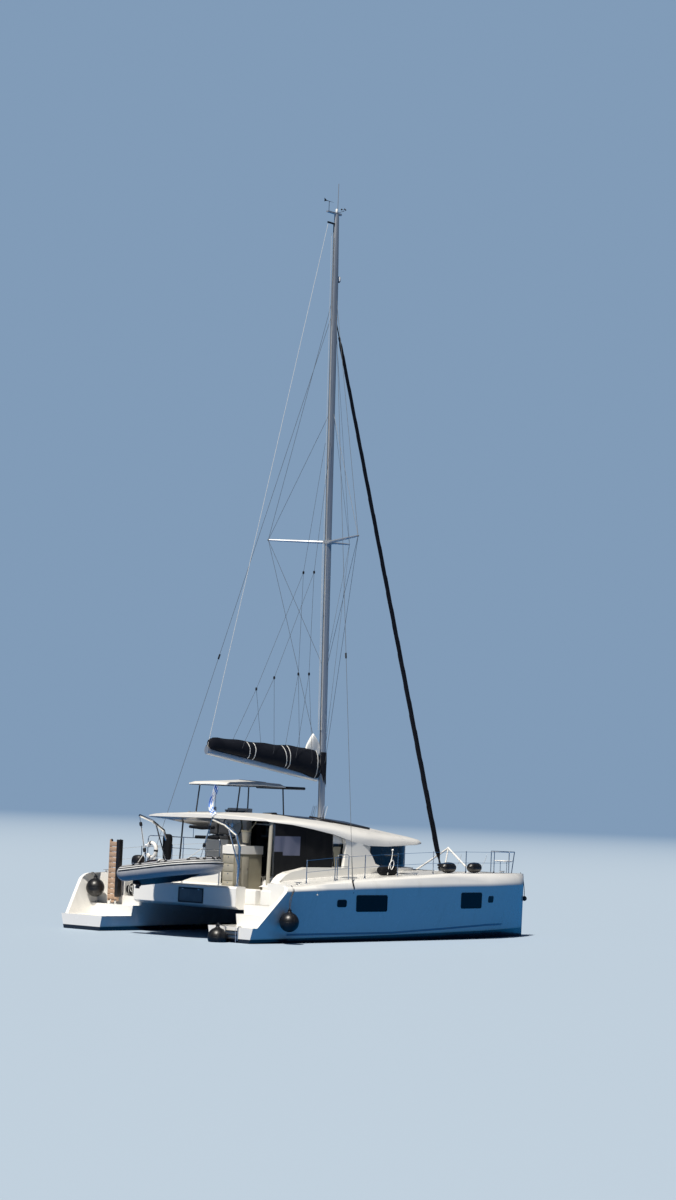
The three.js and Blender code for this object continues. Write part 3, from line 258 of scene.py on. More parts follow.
def math_node(tree, operation, *values):
    """A Math node whose inputs are sockets or numbers."""
    node = add_node(tree, "Math")
    node.operation = operation
    for value, socket in zip(values, node.inputs):
        feed(tree, value, socket)
    return node.outputs[0]


def times(tree, a, b):
    return math_node(tree, "MULTIPLY", a, b)


def plus(tree, a, b):
    return math_node(tree, "ADD", a, b)


def minus(tree, a, b):
    return math_node(tree, "SUBTRACT", a, b)


def ramp(tree, value, low, high, to_low=0, to_high=1, smooth=True):
    """Maps value from low..high to to_low..to_high, held at both ends."""
    node = add_node(tree, "MapRange", Value=value, From_Min=low, From_Max=high, To_Min=to_low, To_Max=to_high)
    node.interpolation_type = "SMOOTHSTEP" if smooth else "LINEAR"
    return node.outputs["Result"]


def place(tree):
    """The place on the surface in metres, and its x, y and z."""
    where = add_node(tree, "TexCoord").outputs["Object"]
    return where, add_node(tree, "SeparateXYZ", Vector=where).outputs


def weathering_group():
    """Soft uneven patches, as salt, sun and wiping leave them."""
    group, given, result = new_group("sun and salt", "Mask", Scale=1.2, Contrast=0.5)
    where, _ = place(group)
    broad = add_node(group, "TexNoise", Vector=where, Scale=given["Scale"], Detail=6, Roughness=0.62)
    centred = times(group, minus(group, broad.outputs["Fac"], 0.5), given["Contrast"])
    held = add_node(group, "Clamp", Value=plus(group, times(group, centred, 4), 0.5))
    group.links.new(held.outputs[0], result)
    return group


def streak_group():
    """Marks that run down a surface, as rain leaves them."""
    group, given, result = new_group("rain streaks", "Mask", Width=9, Length=0.5)
    _, (x, y, z) = place(group)
    squeezed = add_node(
        group, "CombineXYZ", X=times(group, x, given["Width"]), Y=times(group, y, given["Width"]),
        Z=times(group, z, given["Length"]),
    )
    marks = add_node(group, "TexNoise", Vector=squeezed.outputs[0], Scale=1, Detail=5)
    group.links.new(ramp(group, marks.outputs["Fac"], 0.52, 0.75), result)
    return group


def weave_group():
    """Crossed threads of a cloth or a net, from three sets of waves."""
    group, given, result = new_group("crossed threads", "Height", Threads_per_metre=400)
    _, xyz = place(group)
    waves = []
    for axis in xyz:
        turned = times(group, axis, given["Threads per metre"])
        waves.append(math_node(group, "SINE", times(group, turned, 2 * pi)))
    pair = times(group, waves[0], waves[2])
    cross = times(group, waves[1], waves[2])
    total = plus(group, pair, plus(group, cross, waves[0]))
    group.links.new(ramp(group, total, -2, 2, smooth=False), result)
    return group


def grain_group():
    """Long grain along x, as in sawn timber or brushed metal."""
    group, given, result = new_group("long grain", "Mask", Scale=30, Along_x=0.06, Along_z=1)
    _, (x, y, z) = place(group)
    squeezed = add_node(
        group, "CombineXYZ", X=times(group, x, given["Along x"]), Y=y, Z=times(group, z, given["Along z"]),
    )
    fibres = add_node(group, "TexNoise", Vector=squeezed.outputs[0], Scale=given["Scale"], Detail=7)
    group.links.new(ramp(group, fibres.outputs["Fac"], 0.3, 0.7), result)
    return group


def tread_group():
    """Small raised dots of a moulded deck that isn't slippery."""
    group, given, result = new_group("deck tread", "Height", Scale=90)
    where, _ = place(group)
    cells = add_node(group, "TexVoronoi", Vector=where, Scale=given["Scale"])
    group.links.new(ramp(group, cells.outputs["Distance"], 0.25, 0.5, 1, 0), result)
    return group


GROUPS = {}
GROUP_MAKERS = {
    "weathering": weathering_group, "streaks": streak_group, "weave": weave_group,
    "grain": grain_group, "tread": tread_group,
}


def placed_group(mat, kind, **values):
    """Puts a shared group into a material, with this material's own values."""
    if kind not in GROUPS:
        GROUPS[kind] = GROUP_MAKERS[kind]()
    node = add_node(mat.node_tree, "Group")
    node.node_tree = GROUPS[kind]
    for label, value in values.items():
        node.inputs[label.replace("_", " ")].default_value = value
    return node.outputs[0]


def patches(mat, scale, contrast=0.5):
    return placed_group(mat, "weathering", Scale=scale, Contrast=contrast)


# Parts of a finish

MIX_A, MIX_B, MIX_OUT = 6, 7, 2


def shader_of(mat):
    return mat.node_tree.nodes["Principled BSDF"].inputs


def plain(name, colour, roughness, metallic=0, **values):
    """A material whose even values stand on its shader."""
    mat = bpy.data.materials.new(name)
    mat.use_nodes = True
    mat.diffuse_color = (*colour, 1)
    values.update(Base_Color=(*colour, 1), Roughness=roughness, Metallic=metallic)
    for label, value in values.items():
        shader_of(mat)[label.replace("_", " ")].default_value = value
    return mat


def tint(mat, colour, mask, amount=1):
    """Lays a colour over the material where mask is high."""
    tree = mat.node_tree
    base = shader_of(mat)["Base Color"]
    mix = add_node(tree, "Mix", Factor=mask if amount == 1 else times(tree, mask, amount))
    mix.data_type = "RGBA"
    feed(tree, base.links[0].from_socket if base.is_linked else base.default_value, mix.inputs[MIX_A])
    mix.inputs[MIX_B].default_value = (*colour, 1)
    tree.links.new(mix.outputs[MIX_OUT], base)


def rough(mat, mask, low, high):
    """Roughness that goes from low to high with the mask."""
    tree = mat.node_tree
    tree.links.new(ramp(tree, mask, 0, 1, low, high, smooth=False), shader_of(mat)["Roughness"])


def relief(mat, height, distance):
    """Adds a bump, over any that the material has."""
    tree = mat.node_tree
    normal = shader_of(mat)["Normal"]
    bump = add_node(tree, "Bump", Height=height, Distance=distance, Strength=1)
    if normal.is_linked:
        tree.links.new(normal.links[0].from_socket, bump.inputs["Normal"])
    tree.links.new(bump.outputs["Normal"], normal)


def facing(mat, axis):
    """The part of the surface's normal along x, y or z."""
    normal = add_node(mat.node_tree, "NewGeometry").outputs["Normal"]
    return add_node(mat.node_tree, "SeparateXYZ", Vector=normal).outputs[axis]


# Finishes

def weathered(mat, shade_colour, amount=0.35, scale=1.2, low=0.24, high=0.42):
    """Uneven colour and gloss, as on every outdoor surface."""
    tint(mat, shade_colour, patches(mat, scale, 0.6), amount)
    rough(mat, patches(mat, scale * 3, 0.5), low, high)


def tread_on_tops(mat):
    """Gives flat tops the moulded tread."""
    top = ramp(mat.node_tree, facing(mat, "Z"), 0.97, 0.99)
    relief(mat, times(mat.node_tree, top, placed_group(mat, "tread", Scale=110)), 0.0006)


UNDERSIDE_SHADE_Z = 2.5


def gelcoat_finish(settings):
    """White gelcoat with a moulded tread on its flat tops and painted shade on its undersides under the roof.
    """
    mat = plain("white gelcoat", settings.gelcoat, 0.3, Coat_Weight=0.3, Coat_Roughness=0.08)
    weathered(mat, settings.gelcoat_shade)
    tread_on_tops(mat)
    tree = mat.node_tree
    _, xyz = place(tree)
    # Painted shade: downward-facing surfaces high up, under the roof, are darkened to the shade they stand
    # in.
    under = ramp(tree, facing(mat, "Z"), -0.15, -0.4)
    tint(mat, settings.roof_underside_shade, times(tree, under, ramp(tree, xyz[2], UNDERSIDE_SHADE_Z - 0.1, UNDERSIDE_SHADE_Z)))
    return mat


def bimini_finish(settings):
    """White moulded top on a dark frame."""
    mat = gelcoat_finish(settings)
    mat.name = "helm bimini"
    _, xyz = place(mat.node_tree)
    tint(mat, (0.03, 0.032, 0.036), ramp(mat.node_tree, xyz[2], 4.04, 4.034))
    return mat


# (x, z) of the boot line and of the rubbing groove's middle, at their aft and fore ends
BOOT_LINE = ((-6.4, 0.105), (6.3, 0.255))
GROOVE_LINE = ((-0.8, 0.225), (3.75, 0.385))
GROOVE_HALF, GROOVE_EDGE = 0.03, 0.01


def line_height(tree, x, ends):
    """The height at x of a line along the hull."""
    (x0, z0), (x1, z1) = ends
    return ramp(tree, x, x0, x1, z0, z1, smooth=False)


def hull_finish(settings):
    """The hulls' gelcoat, with antifouling up to the boot line and the rubbing groove above it, its recess
    darkened with painted shade.
    """
    mat = plain("hull gelcoat", settings.gelcoat, 0.24, Coat_Weight=0.5, Coat_Roughness=0.05)
    weathered(mat, settings.gelcoat_shade, 0.3, 0.7, 0.16, 0.34)
    tree = mat.node_tree
    _, (x, y, z) = place(tree)
    side = ramp(tree, math_node(tree, "ABSOLUTE", facing(mat, "Y")), 0.55, 0.8)
    outboard = ramp(tree, math_node(tree, "ABSOLUTE", y), HULL_Y, HULL_Y + 0.1)
    topsides = times(tree, side, outboard)
    streaks = placed_group(mat, "streaks", Width=5, Length=0.45)
    tint(mat, settings.topside_stain, times(tree, streaks, topsides), 0.25)
    over_boot = minus(tree, z, line_height(tree, x, BOOT_LINE))
    above = minus(tree, z, line_height(tree, x, GROOVE_LINE))
    inner = GROOVE_HALF - GROOVE_EDGE
    groove = times(tree, ramp(tree, above, -GROOVE_HALF, -inner), ramp(tree, above, GROOVE_HALF, inner))
    run = times(tree, ramp(tree, x, -5.2, -5.1), ramp(tree, x, 4.9, 4.6))
    groove = times(tree, times(tree, groove, run), topsides)
    # Painted shade: the groove's recess is darkened, as shade falls in it.
    tint(mat, settings.groove, groove, 0.85)
    relief(mat, minus(tree, 1, groove), 0.01)
    slime = times(tree, ramp(tree, over_boot, 0.05, 0), side)
    tint(mat, settings.waterline_stain, slime, 0.5)
    tint(mat, settings.antifouling, ramp(tree, over_boot, 0.004, -0.004))
    tread_on_tops(mat)
    return mat


def antifouling_finish(settings):
    """Matt rough paint below the waterline."""
    mat = plain("antifouling paint", settings.antifouling, 0.75)
    weathered(mat, (0.05, 0.06, 0.06), 0.5, 3, 0.6, 0.85)
    relief(mat, patches(mat, 40, 1), 0.001)
    return mat


def glass_finish(name, colour, roughness=0.05):
    """Smoked glazing that shows no inside."""
    mat = plain(name, colour, roughness, Specular_IOR_Level=0.22)
    tint(mat, tuple(min(1, c * 2 + 0.002) for c in colour), patches(mat, 1.6, 0.6), 0.6)
    rough(mat, placed_group(mat, "streaks", Width=14, Length=2), roughness, roughness + 0.12)
    return mat


def metal_finish(name, colour, roughness, along_z=1, metallic=0.9):
    """Drawn or brushed metal with fine marks along its length."""
    mat = plain(name, colour, roughness, metallic)
    grain = placed_group(mat, "grain", Scale=60, Along_x=0.3, Along_z=along_z)
    tint(mat, tuple(c * 0.78 for c in colour), grain, 0.4)
    rough(mat, grain, roughness * 0.8, roughness * 1.4)
    relief(mat, grain, 0.0001)
    return mat


def cloth_finish(name, colour, worn, threads=380, roughness=0.85, sheen=0.03, patch=0.6):
    """Woven cloth with worn patches."""
    mat = plain(name, colour, roughness, Sheen_Weight=sheen, Sheen_Roughness=0.4, Specular_IOR_Level=0.15)
    marks = patches(mat, 2.4, 0.8)
    tint(mat, worn, marks, patch)
    rough(mat, marks, roughness - 0.1, min(1, roughness + 0.08))
    relief(mat, placed_group(mat, "weave", Threads_per_metre=threads), 0.0004)
    return mat


def rubber_finish(name, colour, scuffed, roughness=0.38):
    """Rubber or plastic with scuffs that run down."""
    mat = plain(name, colour, roughness)
    marks = placed_group(mat, "streaks", Width=18, Length=9)
    tint(mat, scuffed, marks, 0.5)
    rough(mat, marks, roughness, roughness + 0.3)
    relief(mat, patches(mat, 24, 0.7), 0.0008)
    return mat


def vinyl_finish(name, colour, worn):
    """Padded vinyl: fine leather grain and rubbed patches."""
    mat = plain(name, colour, 0.5)
    tint(mat, worn, patches(mat, 3.5, 0.8), 0.5)
    rough(mat, patches(mat, 9, 0.6), 0.42, 0.62)
    relief(mat, placed_group(mat, "tread", Scale=420), 0.0005)
    return mat


def rope_finish(name, colour, fleck):
    """Braided line: slanted strands with a few flecks of a second colour."""
    mat = plain(name, colour, 0.8)
    tree = mat.node_tree
    where, _ = place(tree)
    strands = add_node(tree, "TexWave", Vector=where, Scale=60, Distortion=1.5)
    strands.bands_direction = "DIAGONAL"
    tint(mat, fleck, ramp(tree, strands.outputs["Fac"], 0.55, 0.8), 0.7)
    tint(mat, tuple(c * 0.6 for c in colour), patches(mat, 6), 0.4)
    relief(mat, strands.outputs["Fac"], 0.001)
    return mat


def teak_finish(settings):
    """Oiled timber with its grain."""
    mat = plain("oiled teak", settings.teak, 0.6)
    grain = placed_group(mat, "grain", Scale=26, Along_x=1, Along_z=1)
    tint(mat, tuple(c * 0.55 for c in settings.teak), grain, 0.55)
    rough(mat, grain, 0.5, 0.75)
    relief(mat, grain, 0.0008)
    return mat


CELL = 0.125


def solar_finish():
    """Dark cells with thin bright lines between them."""
    mat = plain("solar cells", (0.008, 0.012, 0.03), 0.12, Coat_Weight=0.8, Coat_Roughness=0.03)
    tree = mat.node_tree
    _, xyz = place(tree)
    lines = []
    for axis in (0, 1):
        cell = math_node(tree, "PINGPONG", times(tree, xyz[axis], 1 / CELL), 0.5)
        lines.append(ramp(tree, cell, 0.03, 0.01))
    tint(mat, (0.35, 0.38, 0.42), math_node(tree, "MAXIMUM", *lines), 0.7)
    tint(mat, (0.02, 0.03, 0.07), patches(mat, 5), 0.6)
    return mat


def curtain_finish():
    """Black canvas with a clear window sewn in."""
    mat = cloth_finish("curtain canvas", (0.003, 0.004, 0.006), (0.007, 0.008, 0.011), 300, 0.8)
    tree = mat.node_tree
    _, (x, _, z) = place(tree)
    wide = math_node(tree, "ABSOLUTE", plus(tree, x, 3.835))
    tall = math_node(tree, "ABSOLUTE", minus(tree, z, 2.495))
    window = times(tree, ramp(tree, wide, 0.57, 0.56), ramp(tree, tall, 0.26, 0.25))
    notch = times(tree, ramp(tree, x, -3.96, -3.97), ramp(tree, z, 2.34, 2.33))
    window = minus(tree, window, times(tree, window, notch))
    tint(mat, (0.13, 0.14, 0.2), window)
    rough(mat, window, 0.8, 0.16)
    return mat


def locker_finish():
    """Beige lacquer under a white moulded top."""
    mat = vinyl_finish("beige locker", (0.3, 0.28, 0.21), (0.22, 0.2, 0.15))
    _, xyz = place(mat.node_tree)
    tint(mat, (0.8, 0.79, 0.755), ramp(mat.node_tree, xyz[2], 2.225, 2.232))
    return mat


def flag_finish():
    """Plain blue and white stripes along the cloth's height."""
    mat = cloth_finish("striped bunting", (0.75, 0.78, 0.82), (0.6, 0.64, 0.7), 900, 0.8)
    tree = mat.node_tree
    _, xyz = place(tree)
    wave = math_node(tree, "SINE", times(tree, plus(tree, xyz[1], xyz[0]), 42))
    tint(mat, (0.08, 0.22, 0.62), ramp(tree, wave, -0.1, 0.1), 0.9)
    return mat


def make_finishes(settings):
    """Every finish, under the name that the pieces ask for."""
    FINISH.update({
        "gelcoat": gelcoat_finish(settings),
        "hull": hull_finish(settings),
        "antifoul": antifouling_finish(settings),
        "glass": glass_finish("smoked glass", (0.002, 0.003, 0.005)),
        "lid": glass_finish("locker lid", (0.1, 0.11, 0.12), 0.2),
        "alloy": metal_finish("anodised alloy", (0.55, 0.57, 0.59), 0.36, 0.02, 0.75),
        "wire": metal_finish("stranded wire", (0.16, 0.17, 0.18), 0.45, 0.05, 0.5),
        "bimini": bimini_finish(settings),
        "steel": metal_finish("polished steel", (0.74, 0.75, 0.76), 0.16, 0.05, 1),
        "bronze": metal_finish("dull bronze", (0.33, 0.2, 0.09), 0.42),
        "canvas": cloth_finish("navy canvas", settings.canvas, (0.006, 0.008, 0.014), 420, 0.7),
        "black_canvas": cloth_finish("black canvas", (0.003, 0.004, 0.006), (0.008, 0.009, 0.012), 300, 0.8),
        "sailcloth": cloth_finish("white sailcloth", (0.8, 0.8, 0.77), (0.62, 0.62, 0.58), 700, 0.7),
        "khaki_cloth": cloth_finish("khaki canvas", (0.3, 0.28, 0.21), (0.22, 0.2, 0.15), 380, 0.85),
        "netting": cloth_finish("white netting", (0.78, 0.78, 0.75), (0.55, 0.56, 0.54), 160, 0.9),
        "rubber": rubber_finish("black rubber", (0.004, 0.004, 0.005), (0.02, 0.02, 0.022)),
        "trim_black": rubber_finish("black plastic", (0.006, 0.006, 0.008), (0.014, 0.014, 0.016), 0.45),
        "tube_grey": rubber_finish("grey coated fabric", settings.tender, (0.4, 0.41, 0.425), 0.5),
        # Partly painted shade: the tender's hull is dark paint, made near black as painted shade of its
        # underside.
        "tender_hull": rubber_finish("tender hull paint and shade", (0.008, 0.01, 0.014), (0.02, 0.024, 0.03), 0.3),
        "vinyl": vinyl_finish("beige vinyl", settings.upholstery, (0.24, 0.22, 0.17)),
        "beige": vinyl_finish("beige lacquer", (0.36, 0.34, 0.28), (0.26, 0.24, 0.19)),
        "brown": vinyl_finish("brown table top", (0.12, 0.09, 0.065), (0.08, 0.06, 0.045)),
        "teak": teak_finish(settings),
        "solar": solar_finish(),
        "rope_white": rope_finish("white line", (0.72, 0.71, 0.66), (0.35, 0.38, 0.42)),
        "rope_dark": rope_finish("dark line", (0.035, 0.04, 0.05), (0.12, 0.13, 0.15)),
        "rope_blue": rope_finish("blue fleck line", (0.5, 0.55, 0.62), (0.05, 0.12, 0.4)),
        "curtain": curtain_finish(),
        "locker": locker_finish(),
        "frame_grey": metal_finish("grey window frame", (0.12, 0.13, 0.14), 0.4, 1, 0.4),
        "dark_vinyl": vinyl_finish("dark vinyl", (0.03, 0.032, 0.036), (0.05, 0.052, 0.056)),
        "flag": flag_finish(),
        "screen": glass_finish("instrument screen", (0.01, 0.014, 0.02), 0.08),
        "red": rubber_finish("red plastic", (0.4, 0.03, 0.02), (0.5, 0.1, 0.08)),
    })


def both(*names):
    """The names with each side's ending."""
    return [f"{name}_{side}" for name in names for side in SIDES]


NODE_FINISH = {
    "hull": both("hull"),
    "gelcoat": both("saloon_side", "side_wing") + [
        "bridgedeck", "coaming", "hardtop", "saloon_front", "crossbeam", "helm_station", "foredeck_walkway",
        "cockpit_table",
    ],
    "antifoul": both("keel", "rudder", "saildrive"),
    "bronze": both("propeller"),
    "glass": both("glazing_side") + ["glazing_front", "saloon_bulkhead"],
    "lid": ["aft_locker_lid"],
    "bimini": ["helm_bimini"],
    # Painted shade: the port hardtop post gets dark grey, the tone it shows in the shade under the roof.
    "frame_grey": ["hardtop_post_port"],
    "locker": ["cockpit_locker"],
    "alloy": ["sliding_door", "door_rails", "mast", "spreaders", "boom"],
    # Painted shade: the starboard hardtop post gets beige, the tone it shows in the shade under the roof.
    "beige": ["hardtop_post_starboard"],
    "steel": both("davit", "guard_rail") + ["helm_wheel", "gangway_hinge"],
    "wire": both("diamond_stays", "shroud"),
    "tender_hull": ["tender_hull"],
}


def smoothing_modifier():
    """Merges the facets' corners and shades them smooth up to a set angle."""
    group = bpy.data.node_groups.new("smooth facets", "GeometryNodeTree")
    group.interface.new_socket(name="Geometry", in_out="INPUT", socket_type="NodeSocketGeometry")
    group.interface.new_socket(name="Geometry", in_out="OUTPUT", socket_type="NodeSocketGeometry")
    start, merge, forget, soften, sharpen, end, angle, wide = (group.nodes.new(kind) for kind in (
        "NodeGroupInput", "GeometryNodeMergeByDistance", "GeometryNodeRemoveAttribute",
        "GeometryNodeSetShadeSmooth", "GeometryNodeSetShadeSmooth", "NodeGroupOutput",
        "GeometryNodeInputMeshEdgeAngle", "FunctionNodeCompare",
    ))
    merge.inputs["Distance"].default_value = 1e-4
    forget.inputs["Name"].default_value = "custom_normal"
    sharpen.domain = "EDGE"
    sharpen.inputs["Shade Smooth"].default_value = False
    wide.operation = "GREATER_THAN"
    wide.inputs[1].default_value = SMOOTH_ANGLE
    route = [start, merge, forget, soften, sharpen, end]
    for before, after in zip(route, route[1:]):
        group.links.new(before.outputs[0], after.inputs["Geometry"])
    group.links.new(angle.outputs["Unsigned Angle"], wide.inputs[0])
    group.links.new(wide.outputs[0], sharpen.inputs["Selection"])
    return group


def dress_nodes():
    """Gives each of the boat's own parts that stays its finish and smooth shading."""
    group = smoothing_modifier()
    for finish, names in NODE_FINISH.items():
        for name in names:
            node = NODES[name]
            node.material_slots[0].material = FINISH[finish]
            modifier = node.modifiers.new("smooth facets", "NODES")
            modifier.node_group = group
            weighted = node.modifiers.new("flat faces keep their tone", "WEIGHTED_NORMAL")
            weighted.keep_sharp = True
            weighted.weight = 90


# Outlines and rings that pieces share

def round_rect(width, height, radius, inset=0, skew=0, steps=4):
    """An outline about the origin with rounded corners, drawn in by inset."""
    w, h, r = width / 2 - inset, height / 2 - inset, max(radius - inset, 0.002)
    points = []
    for u, v, start in ((w - r, h - r, 0), (r - w, h - r, 90), (r - w, r - h, 180), (w - r, r - h, 270)):
        for k in range(steps + 1):
            a = radians(start + 90 * k / steps)
            y = v + r * sin(a)
            points.append((u + r * cos(a) + skew * y, y))
    return points


def laid_on(tree, centre, across, up, look, outlines, reach=0.8):
    """Rings that lie on a surface. Each outline comes with its height above it."""
    centre, across, up, look = Vector(centre), Vector(across), Vector(up), Vector(look)
    rings = []
    for outline, height in outlines:
        ring = []
        for u, v in outline:
            hit, normal = onto(tree, centre + across * u + up * v - look * reach, look)
            if normal.dot(look) > 0:
                normal = -normal
            ring.append(hit + normal * height)
        rings.append(ring)
    return rings


def ellipse(centre, across, up, half_across, half_up, sides=24, power=1):
    """A ring about centre. A power under 1 squares it off."""
    def bent(value):
        return copysign(abs(value) ** power, value)
    centre, across, up = Vector(centre), Vector(across), Vector(up)
    return [
        centre + across * (half_across * bent(cos(a))) + up * (half_up * bent(sin(a)))
        for a in circle(sides)
    ]


def interpolate(rows, x):
    """Values at x from rows that start with their own x, in falling order."""
    for a, b in zip(rows, rows[1:]):
        if a[0] >= x >= b[0] or b is rows[-1]:
            t = min(max((x - a[0]) / (b[0] - a[0]), 0), 1)
            return [p + (q - p) * t for p, q in zip(a[1:], b[1:])]


def subdivide(piece):
    finer = piece.modifiers.new("subdivision", "SUBSURF")
    finer.levels = finer.render_levels = 1


# Soft pieces


PRESSURE = 4
INFLATE_FRAMES = 20


def rounded_block(lo, hi, crown, step):
    """A closed form with a grid on every side, crowned on its top and drawn in between its corners."""
    part = bmesh.new()
    size = [hi[k] - lo[k] for k in range(3)]
    cells = [max(2, round(size[k] / step)) for k in range(3)]
    bmesh.ops.create_cube(part, size=1)
    for axis in range(3):
        for k in range(1, cells[axis]):
            where, normal = Vector(), Vector()
            where[axis], normal[axis] = k / cells[axis] - 0.5, 1
            bmesh.ops.bisect_plane(part, geom=part.verts[:] + part.edges[:] + part.faces[:],
                                   plane_co=where, plane_no=normal)
    thin = min(range(3), key=lambda k: size[k])
    wide = [k for k in range(3) if k != thin]
    for vert in part.verts:
        p = vert.co * 2
        a, b = p[wide[0]], p[wide[1]]
        edge = max(abs(a), abs(b))
        round_off = 1 - 0.42 * max(0, edge - 0.72) / 0.28
        puffed = 1 + crown * (1 - a * a) * (1 - b * b)
        p[thin] *= round_off * puffed
        p[wide[0]] *= 1 - 0.018 * (1 - b * b) * abs(a)
        p[wide[1]] *= 1 - 0.03 * (1 - a * a) * abs(b)
        vert.co = Vector([(lo[k] + hi[k]) / 2 + p[k] * size[k] / 2 for k in range(3)])
    return part


def inflate(piece, voxel, cap):
    """Swells a pad as its stuffing does, with cloth pressure, and holds each point within cap."""
    scene = bpy.context.scene
    remesh = piece.modifiers.new("even mesh", "REMESH")
    remesh.mode = "VOXEL"
    remesh.voxel_size = voxel
    settle(piece)
    start = [v.co.copy() for v in piece.data.vertices]
    modifier = piece.modifiers.new("stuffing", "CLOTH")
    modifier.collision_settings.use_collision = False
    cloth = modifier.settings
    cloth.quality = 5
    cloth.mass = 0.3
    cloth.use_pressure = True
    cloth.uniform_pressure_force = PRESSURE
    cloth.effector_weights.gravity = 0
    cloth.tension_stiffness = 25
    cloth.bending_stiffness = 1.5
    for number in range(INFLATE_FRAMES):
        scene.frame_set(number + 1)
    settle(piece)
    scene.frame_set(1)
    for vert, home in zip(piece.data.vertices, start):
        step = vert.co - home
        if step.length > cap:
            vert.co = home + step.normalized() * cap


def settle(piece):
    """Applies what the modifiers make of the piece."""
    graph = bpy.context.evaluated_depsgraph_get()
    made = bpy.data.meshes.new_from_object(piece.evaluated_get(graph))
    old, piece.data = piece.data, made
    piece.modifiers.clear()
    bpy.data.meshes.remove(old)


def piping(shape, tree, middle, half, axes, level, radius):
    """A sewn cord round a pad, on its skin."""
    u, v, w = axes
    route = []
    for a, b in round_rect(2 * half[0], 2 * half[1], 0.05, steps=3):
        hit, normal, _, _ = tree.find_nearest(middle + u * a + v * b + w * level)
        route.append(hit + normal * radius * 0.2)
    dense = []
    for p, q in zip(route, route[1:] + route[:1]):
        count = max(1, round((q - p).length / 0.05))
        for k in range(count):
            hit, normal, _, _ = tree.find_nearest(p.lerp(q, k / count))
            dense.append(hit + normal * radius * 0.3)
    shape.tube(dense, radius, 6, closed=True)


def cushions(name, pads, finish, slot, crown=0.22, voxel=0.016, cap=0.02, drawn_in=0.014):
    """Stuffed pads with a piped seam round the top and bottom edges. Each pad is its two corners."""
    stuffed = Shape()
    for lo, hi in pads:
        stuffed.take(rounded_block([c + drawn_in for c in lo], [c - drawn_in for c in hi], crown, 0.06))
    made = stuffed.made(name)
    inflate(made, voxel, cap)
    mesh = made.data
    tree = BVHTree.FromPolygons([v.co for v in mesh.vertices], [p.vertices[:] for p in mesh.polygons])
    trim = Shape()
    for lo, hi in pads:
        size, middle = Vector(hi) - Vector(lo), (Vector(lo) + Vector(hi)) / 2
        thin = min(range(3), key=lambda k: size[k])
        wide = [k for k in range(3) if k != thin]
        half = [size[k] / 2 - drawn_in for k in wide]
        u, v, w = (Vector(Matrix.Identity(3)[k]) for k in (*wide, thin))
        for level in (-0.3, 0.3):
            piping(trim, tree, middle, half, (u, v, w), level * size[thin], 0.006)
    trim.piece(f"{name}_piping", finish, slot)
    mesh.materials.clear()
    mesh.materials.append(FINISH[finish])
    for face in mesh.polygons:
        face.use_smooth = True
    subdivide(made)
    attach(made, "root")
    return made


BENCH_SEATS = [
    ((-4.8, -0.93, 1.445), (-4.41, 0.19, 1.56)), ((-4.8, 0.2, 1.445), (-4.41, 1.34, 1.56)),
    ((-4.8, 1.35, 1.445), (-4.06, 1.795, 1.56)),
    ((-4.05, 1.35, 1.445), (-3.305, 1.795, 1.56)),
]
BENCH_BACKS = [
    ((-4.915, -0.93, 1.57), (-4.8, -0.02, 2)), ((-4.915, -0.01, 1.57), (-4.8, 0.89, 2)),
    ((-4.915, 0.9, 1.57), (-4.8, 1.795, 2)),
]


def make_bench():
    """Moulded base with its lids, and the seat and back pads on it."""
    shape = Shape()
    shape.box((-4.94, -0.94, 1.1503), (-4.4, 1.8, 1.44), 0.02)
    shape.box((-4.94, 1.35, 1.1503), (-3.3, 1.8, 1.44), 0.02)
    shape.box((-4.94, -0.94, 1.42), (-4.918, 1.8, 1.98), 0.008)
    for y0, y1 in ((-0.85, 0.1), (0.25, 1.2)):
        shape.box((-4.402, y0, 1.2), (-4.392, y1, 1.4), 0.004)
        shape.box((-4.394, (y0 + y1) / 2 - 0.05, 1.33), (-4.384, (y0 + y1) / 2 + 0.05, 1.36), 0.004)
    base = shape.piece("bench_base", "gelcoat", "gelcoat")
    cushions("bench_seat_pads", BENCH_SEATS, "vinyl", "beige_trim")
    cushions("bench_back_pads", BENCH_BACKS, "vinyl", "beige_trim")
    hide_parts("cockpit_bench")


HELM_PADS = [
    ((-2.945, 0.675, 2.5605), (-2.635, 1.07, 2.66)), ((-2.945, 1.08, 2.5605), (-2.635, 1.475, 2.66)),
    ((-2.96, 0.675, 2.67), (-2.88, 1.07, 3.04)), ((-2.96, 1.08, 2.67), (-2.88, 1.475, 3.04)),
]


def make_helm_seat():
    pads = cushions("helm_pads", HELM_PADS, "dark_vinyl", "beige_trim", voxel=0.012, cap=0.012)
    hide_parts("helm_seat")


# Sail stowed on the boom

BOOM_PIN = Vector((-0.04, 0, 4.39))
BOOM_SLOPE = (4.98 - 4.39) / (-4.71 + 0.04)
# x, half width, top and bottom of the bag about the boom's axis
BAG_ROWS = [
    (-0.02, 0.06, 0.6, 0.1), (-0.08, 0.12, 0.72, -0.02), (-0.3, 0.185, 0.775, -0.06),
    (-0.8, 0.205, 0.74, 0), (-1.3, 0.212, 0.7, 0.02), (-1.9, 0.2, 0.63, 0.03), (-2.6, 0.19, 0.56, 0.03),
    (-3.3, 0.176, 0.5, 0.03), (-3.9, 0.16, 0.45, 0.03), (-4.3, 0.14, 0.41, 0.03), (-4.56, 0.095, 0.35, 0.04),
    (-4.64, 0.05, 0.29, 0.06),
]
# x, lowest and highest z of the sail's corner above the bag
SAIL_CORNER = [
    (-1.1, 5.02, 5.1), (-0.6, 5.02, 5.17), (-0.53, 5.02, 5.34), (-0.4, 5, 5.5), (-0.28, 5, 5.64),
    (-0.12, 4.98, 5.5), (-0.03, 4.98, 5.4), (-0.015, 5, 5.36),
]
CLOTH_ANGLE = radians(60)


def boom_z(x):
    """Height of the boom's axis at x."""
    return BOOM_PIN.z + (x - BOOM_PIN.x) * BOOM_SLOPE


